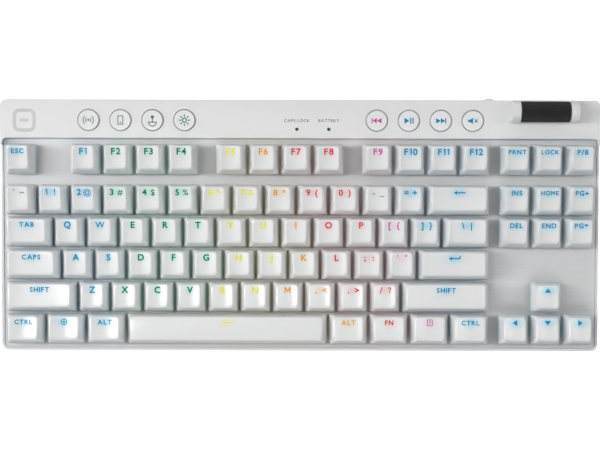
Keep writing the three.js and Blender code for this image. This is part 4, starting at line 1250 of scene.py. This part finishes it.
button_inks = {
    "brightness_button": glow_materials["green"], "previous_track_button": glow_materials["pink"],
    "play_pause_button": glow_materials["blue"], "next_track_button": glow_materials["blue"],
    "mute_button": glow_materials["blue"],
}
BUTTON_HOLLOW = 0.25
BUTTON_ROUND = 0.55
FLANGE_RADIUS = 7.1
SIGN_SCALE = 1.22
for node in buttons:
    middle = button_places[node]
    low, high = corners(node, deck)
    cap = rounded_disc(BUTTON_RADIUS, low.z + 0.8, BUTTON_TOP, BUTTON_ROUND, 64, hollow=BUTTON_HOLLOW)
    add(cap, rounded_disc(FLANGE_RADIUS, low.z, low.z + 1.5, 0.3))
    inner = BUTTON_RADIUS - BUTTON_ROUND
    signs = button_sign(node)
    bmesh.ops.scale(signs, verts=signs.verts, vec=(SIGN_SCALE, SIGN_SCALE, 1))
    sink(signs, lambda x, y: BUTTON_TOP - BUTTON_HOLLOW * (1 - (x * x + y * y) / inner**2))
    inlay(cap, signs, deck @ Matrix.Translation((middle.x, middle.y, 0)))
    ink = button_inks.get(node, ink_grey)
    place_piece(f"{node}_cap", cap, [button_white, ink], node, [node])

# ------------------------------------------------------------------ marks on the strip
# Pad-printed grey lettering over the two indicator lights, and a plain emblem.

print_grey, *_ = moulded("print_grey", (0.16, 0.16, 0.16), 0.5)
emblem_grey, *_ = moulded("emblem_grey", (0.56, 0.56, 0.56), 0.4)
PRINT_HEIGHT = 1.75
PRINT_DISTANCE = 5.1  # from a light to the middle of the word over it
prints = bmesh.new()
for text, (x, y) in zip(("CAPS LOCK", "BATTERY"), light_places):
    add(prints, written(text, PRINT_HEIGHT, 0.02), Matrix.Translation((x, y + PRINT_DISTANCE, 0)))
sink(prints, lambda x, y: STRIP_RISE, 0.03, 0.1)
moved(prints, deck)
place_piece("indicator_lettering", prints, [print_grey], "case")
emblem = bmesh.new()
EMBLEM_X, EMBLEM_Y = -162.3, 61.5
EMBLEM_HALF = 5.8  # to the middle of its frame
FRAME_ROUND = 3
FRAME_STROKE = 2
straight = EMBLEM_HALF - FRAME_ROUND
for x, y, first in ((1, 1, 0), (-1, 1, 90), (-1, -1, 180), (1, -1, 270)):
    corner_x, corner_y = EMBLEM_X + x * straight, EMBLEM_Y + y * straight
    arc(emblem, corner_x, corner_y, FRAME_ROUND, first, first + 90, FRAME_STROKE)
for side in (-EMBLEM_HALF, EMBLEM_HALF):
    y, x = EMBLEM_Y + side, EMBLEM_X + side
    bar(emblem, EMBLEM_X - straight, y, EMBLEM_X + straight, y, FRAME_STROKE)
    bar(emblem, x, EMBLEM_Y - straight, x, EMBLEM_Y + straight, FRAME_STROKE)
bar(emblem, EMBLEM_X - 2.4, EMBLEM_Y, EMBLEM_X + 2.4, EMBLEM_Y, 1.8)
sink(emblem, lambda x, y: STRIP_RISE, 0.03, 0.1)
moved(emblem, deck)
place_piece("plain_emblem", emblem, [emblem_grey], "case")

smoked, *_ = moulded("smoked_clear", (0.06, 0.06, 0.065), 0.2)
pipe = block(lights_low, (lights_high.x, lights_high.y, lights_low.z + LIGHT_BAR))
for x, y in light_places:
    lens = rounded_disc(LIGHT_RADIUS, lights_low.z + 0.6, STRIP_RISE - 0.05, 0.2, 24)
    pipe = combine(pipe, moved(lens, Matrix.Translation((x, y, 0))), "UNION")
moved(pipe, deck)
place_piece("light_pipe", pipe, [smoked], "case", ["indicator_light_pipe"])

# ------------------------------------------------------------------ volume roller
# A black grip ring on a spindle, with fine straight grooves along it, between the two pillars.

roller_black, *_ = moulded("roller_black", (0.018, 0.018, 0.019), 0.5, patchiness=0.3)
GROOVES = 90
GROOVE_DEPTH = 0.22
drum = bmesh.new()
rings = []
half = ROLLER_LENGTH / 2
END_ROUND = [(0, 0.7), (0.2, 0.25), (0.7, 0)]  # along the axis from an end, and how far below the grip
stations = [(-half + along, inset) for along, inset in END_ROUND]
stations += [(half - along, inset) for along, inset in END_ROUND[::-1]]
for x, inset in stations:
    points = []
    for i in range(GROOVES * 4):
        angle = 2 * math.pi * i / (GROOVES * 4)
        cut = GROOVE_DEPTH if i % 4 == 0 else 0.06 if i % 4 != 2 else 0
        radius = ROLLER_RADIUS - inset - cut * (1 if inset < 0.5 else 0)
        points.append(roller_point(roller_axis.x + x, radius, angle))
    rings.append(points)
loft(drum, rings)
body = "volume_roller"
place_piece("volume_roller_grip", drum, [roller_black], body, [body], smooth=60)
spindle_end = half + ROLLER_PIN
profile = [(0, spindle_end), (1.2, spindle_end), (1.3, spindle_end - 0.3)]
spindle = turned([(radius, -z) for radius, z in profile] + profile[::-1], 24, along_x)
place_piece("roller_spindle", spindle, [zinc], "volume_roller")

# ------------------------------------------------------------------ rear wall fittings
# The drawn steel USB-C port with its tongue, the ridged power slider and the stowed receiver.

steel = plated("plated_steel", 250, (0.5, 0.5, 0.51), (0.68, 0.68, 0.69), 0.28)

port_place = Matrix.Translation((port_middle.x, port_low.y, port_middle.z)) @ lying
port_depth = port_high.y - port_low.y
port = prism(8.95, 3.25, 1.6, 0, 0, 0, port_depth, steps=10)
port = combine(port, prism(8.3, 2.6, 1.28, 0, 0, 1, 20, steps=10))
moved(port, port_place)
place_piece("usb_c_shell", round_edges(port, 0.08, 1), [steel], "case", ["usb_c_port"])
tongue = round_edges(prism(6.6, 0.7, 0.3, 0, 0, 0.5, port_depth - 1, steps=3), 0.1, 1)
moved(tongue, port_place)
place_piece("usb_c_tongue", tongue, [housing_black], "case")

slider_grey, *_ = moulded("slider_grey", (0.74, 0.74, 0.75), 0.45)
knob = block(
    (knob_middle.x - KNOB_WIDTH / 2, knob_low.y, knob_middle.z - KNOB_HEIGHT / 2),
    (knob_middle.x + KNOB_WIDTH / 2, knob_high.y, knob_middle.z + KNOB_HEIGHT / 2),
)
for i in range(-2, 3):
    x = knob_middle.x + i * 0.8
    knob = combine(knob, block((x - 0.2, knob_high.y - 0.45, 0), (x + 0.2, REACH, 60)))
KNOB_FLANGE = 1.2
knob = combine(knob, block(knob_low, (knob_high.x, knob_low.y + KNOB_FLANGE, knob_high.z)), "UNION")
knob = round_edges(knob, 0.12, 1)
place_piece("power_slider_knob", knob, [slider_grey], "power_slider", ["power_slider"])

receiver_white, *_ = moulded("receiver_white", (0.62, 0.62, 0.63), 0.4)
receiver_middle = (receiver_low + receiver_high) / 2
HEAD_LENGTH = 6.5
head = prism(
    receiver_high.x - receiver_low.x, receiver_high.z - receiver_low.z, 1.2, 0, 0, 0, HEAD_LENGTH,
    Matrix.Translation((receiver_middle.x, receiver_high.y - HEAD_LENGTH, receiver_middle.z)) @ lying,
)
for i in range(5):
    y = receiver_high.y - 1.6 - i * 0.8
    groove = block((-REACH, y - 0.15, receiver_low.z - 1), (REACH, y + 0.15, receiver_low.z + 0.3))
    head = combine(head, groove)
head = round_edges(head, 0.3)
body = "wireless_receiver"
place_piece("receiver_head", head, [receiver_white], body, [body])
plug_length = receiver_high.y - receiver_low.y - HEAD_LENGTH
plug_place = Matrix.Translation((receiver_middle.x, receiver_low.y, receiver_middle.z)) @ lying
plug = prism(12, 4.5, 0.4, 0, 0, 0, plug_length + 0.5, steps=3)
plug = combine(plug, prism(11.3, 3.8, 0.3, 0, 0, -1, plug_length - 1, steps=3))
for x in (-2.6, 2.6):
    plug = combine(plug, block((x - 1.1, -5, 3), (x + 1.1, 5, 5)))
moved(plug, plug_place)
place_piece("receiver_plug", round_edges(plug, 0.06, 1), [steel], body)
insert = block((-5.5, 0, 0.3), (5.5, 1.8, plug_length - 1))
moved(insert, plug_place)
insert = round_edges(insert, 0.1, 1)
place_piece("receiver_contacts_block", insert, [receiver_white], body)

# ------------------------------------------------------------------ pads and tilt feet
# Four dark rubber pads glued into shallow pockets, and two pairs of hinged white feet. Each low foot
# folds inside its high foot, and both have a notch for a fingernail.

rubber_grey, *_ = moulded("rubber_grey", (0.16, 0.16, 0.165), 0.8, 0.6, 0.5)
for node in ("front_left_pad", "front_right_pad", "rear_left_pad", "rear_right_pad"):
    low, high = corners(node)
    pad = block(low, high, radius=PAD_CORNER)
    place_piece(f"{node}_rubber", round_edges(pad, 0.3), [rubber_grey], "case", [node])

foot_white, *_ = moulded("foot_white", (0.62, 0.62, 0.63), 0.45)
hinge = {name: Vector(joint["pos_m"]) / MM for name, joint in joints.items() if name.endswith("_fold")}
FOOT_THICKNESS = 4
FOOT_PIN = 1.2
BLADE_ROUND = 0.5
NOTCH_HEIGHT = (-3, -0.6)  # from a foot's axis


def foot_leaf(side, kind, notch_half, notch_depth, window=None):
    """Places a foot folded flat: a round hinge end on its pin, and a blade with a nail notch."""
    node = f"{side}_{kind}_foot"
    low, high = corners(node)
    axis = hinge[f"{node}_fold"]
    half = (high.x - low.x) / 2 - PIN_LENGTH
    radius = FOOT_THICKNESS / 2
    edge = []
    for step in range(17):
        angle = -math.pi / 2 + math.pi * step / 16
        edge.append((axis.y + radius * math.cos(angle), axis.z + radius * math.sin(angle)))
    edge += [(low.y + BLADE_ROUND, axis.z + radius), (low.y, axis.z + radius - BLADE_ROUND)]
    edge += [(low.y, axis.z - radius + BLADE_ROUND), (low.y + BLADE_ROUND, axis.z - radius)]
    mesh = bmesh.new()
    loft(mesh, [[Vector((x, y, z)) for y, z in edge] for x in (axis.x - half, axis.x + half)])
    along_axis = Matrix.Translation(axis) @ Matrix.Rotation(math.pi / 2, 4, "Y")
    mesh = combine(mesh, rod(FOOT_PIN, -half - PIN_LENGTH, half + PIN_LENGTH, 20, along_axis), "UNION")
    if window:
        mesh = combine(mesh, window)
    bottom, top = [axis.z + height for height in NOTCH_HEIGHT]
    notch = block((axis.x - notch_half, low.y - 1, bottom), (axis.x + notch_half, low.y + notch_depth, top))
    leaf = round_edges(combine(mesh, notch), 0.3)
    place_piece(f"{node}_leaf", leaf, [foot_white], node, [node])


for side in ("left", "right"):
    low, high = corners(f"{side}_low_foot")
    middle_x = hinge[f"{side}_high_foot_fold"].x
    window_half = (high.x - low.x) / 2 - PIN_LENGTH + SEAM
    window_low = (middle_x - window_half, low.y - 2 * SEAM, -REACH)
    foot_leaf(side, "high", 6, 2.2, block(window_low, (middle_x + window_half, REACH, REACH)))
    foot_leaf(side, "low", 4, 1.8)

# ------------------------------------------------------------------ battery
# A flat lithium pouch under tape, lying on the floor of the tray.

battery_low, battery_high = corners("battery")
foil, tree, shader = moulded("battery_foil", (0.35, 0.36, 0.38), 0.4)
shader.inputs["Metallic"].default_value = 0.8
pouch = block(battery_low, battery_high, radius=2)
place_piece("battery_pouch", round_edges(pouch, 1.2, 3), [foil], "case", ["battery"])
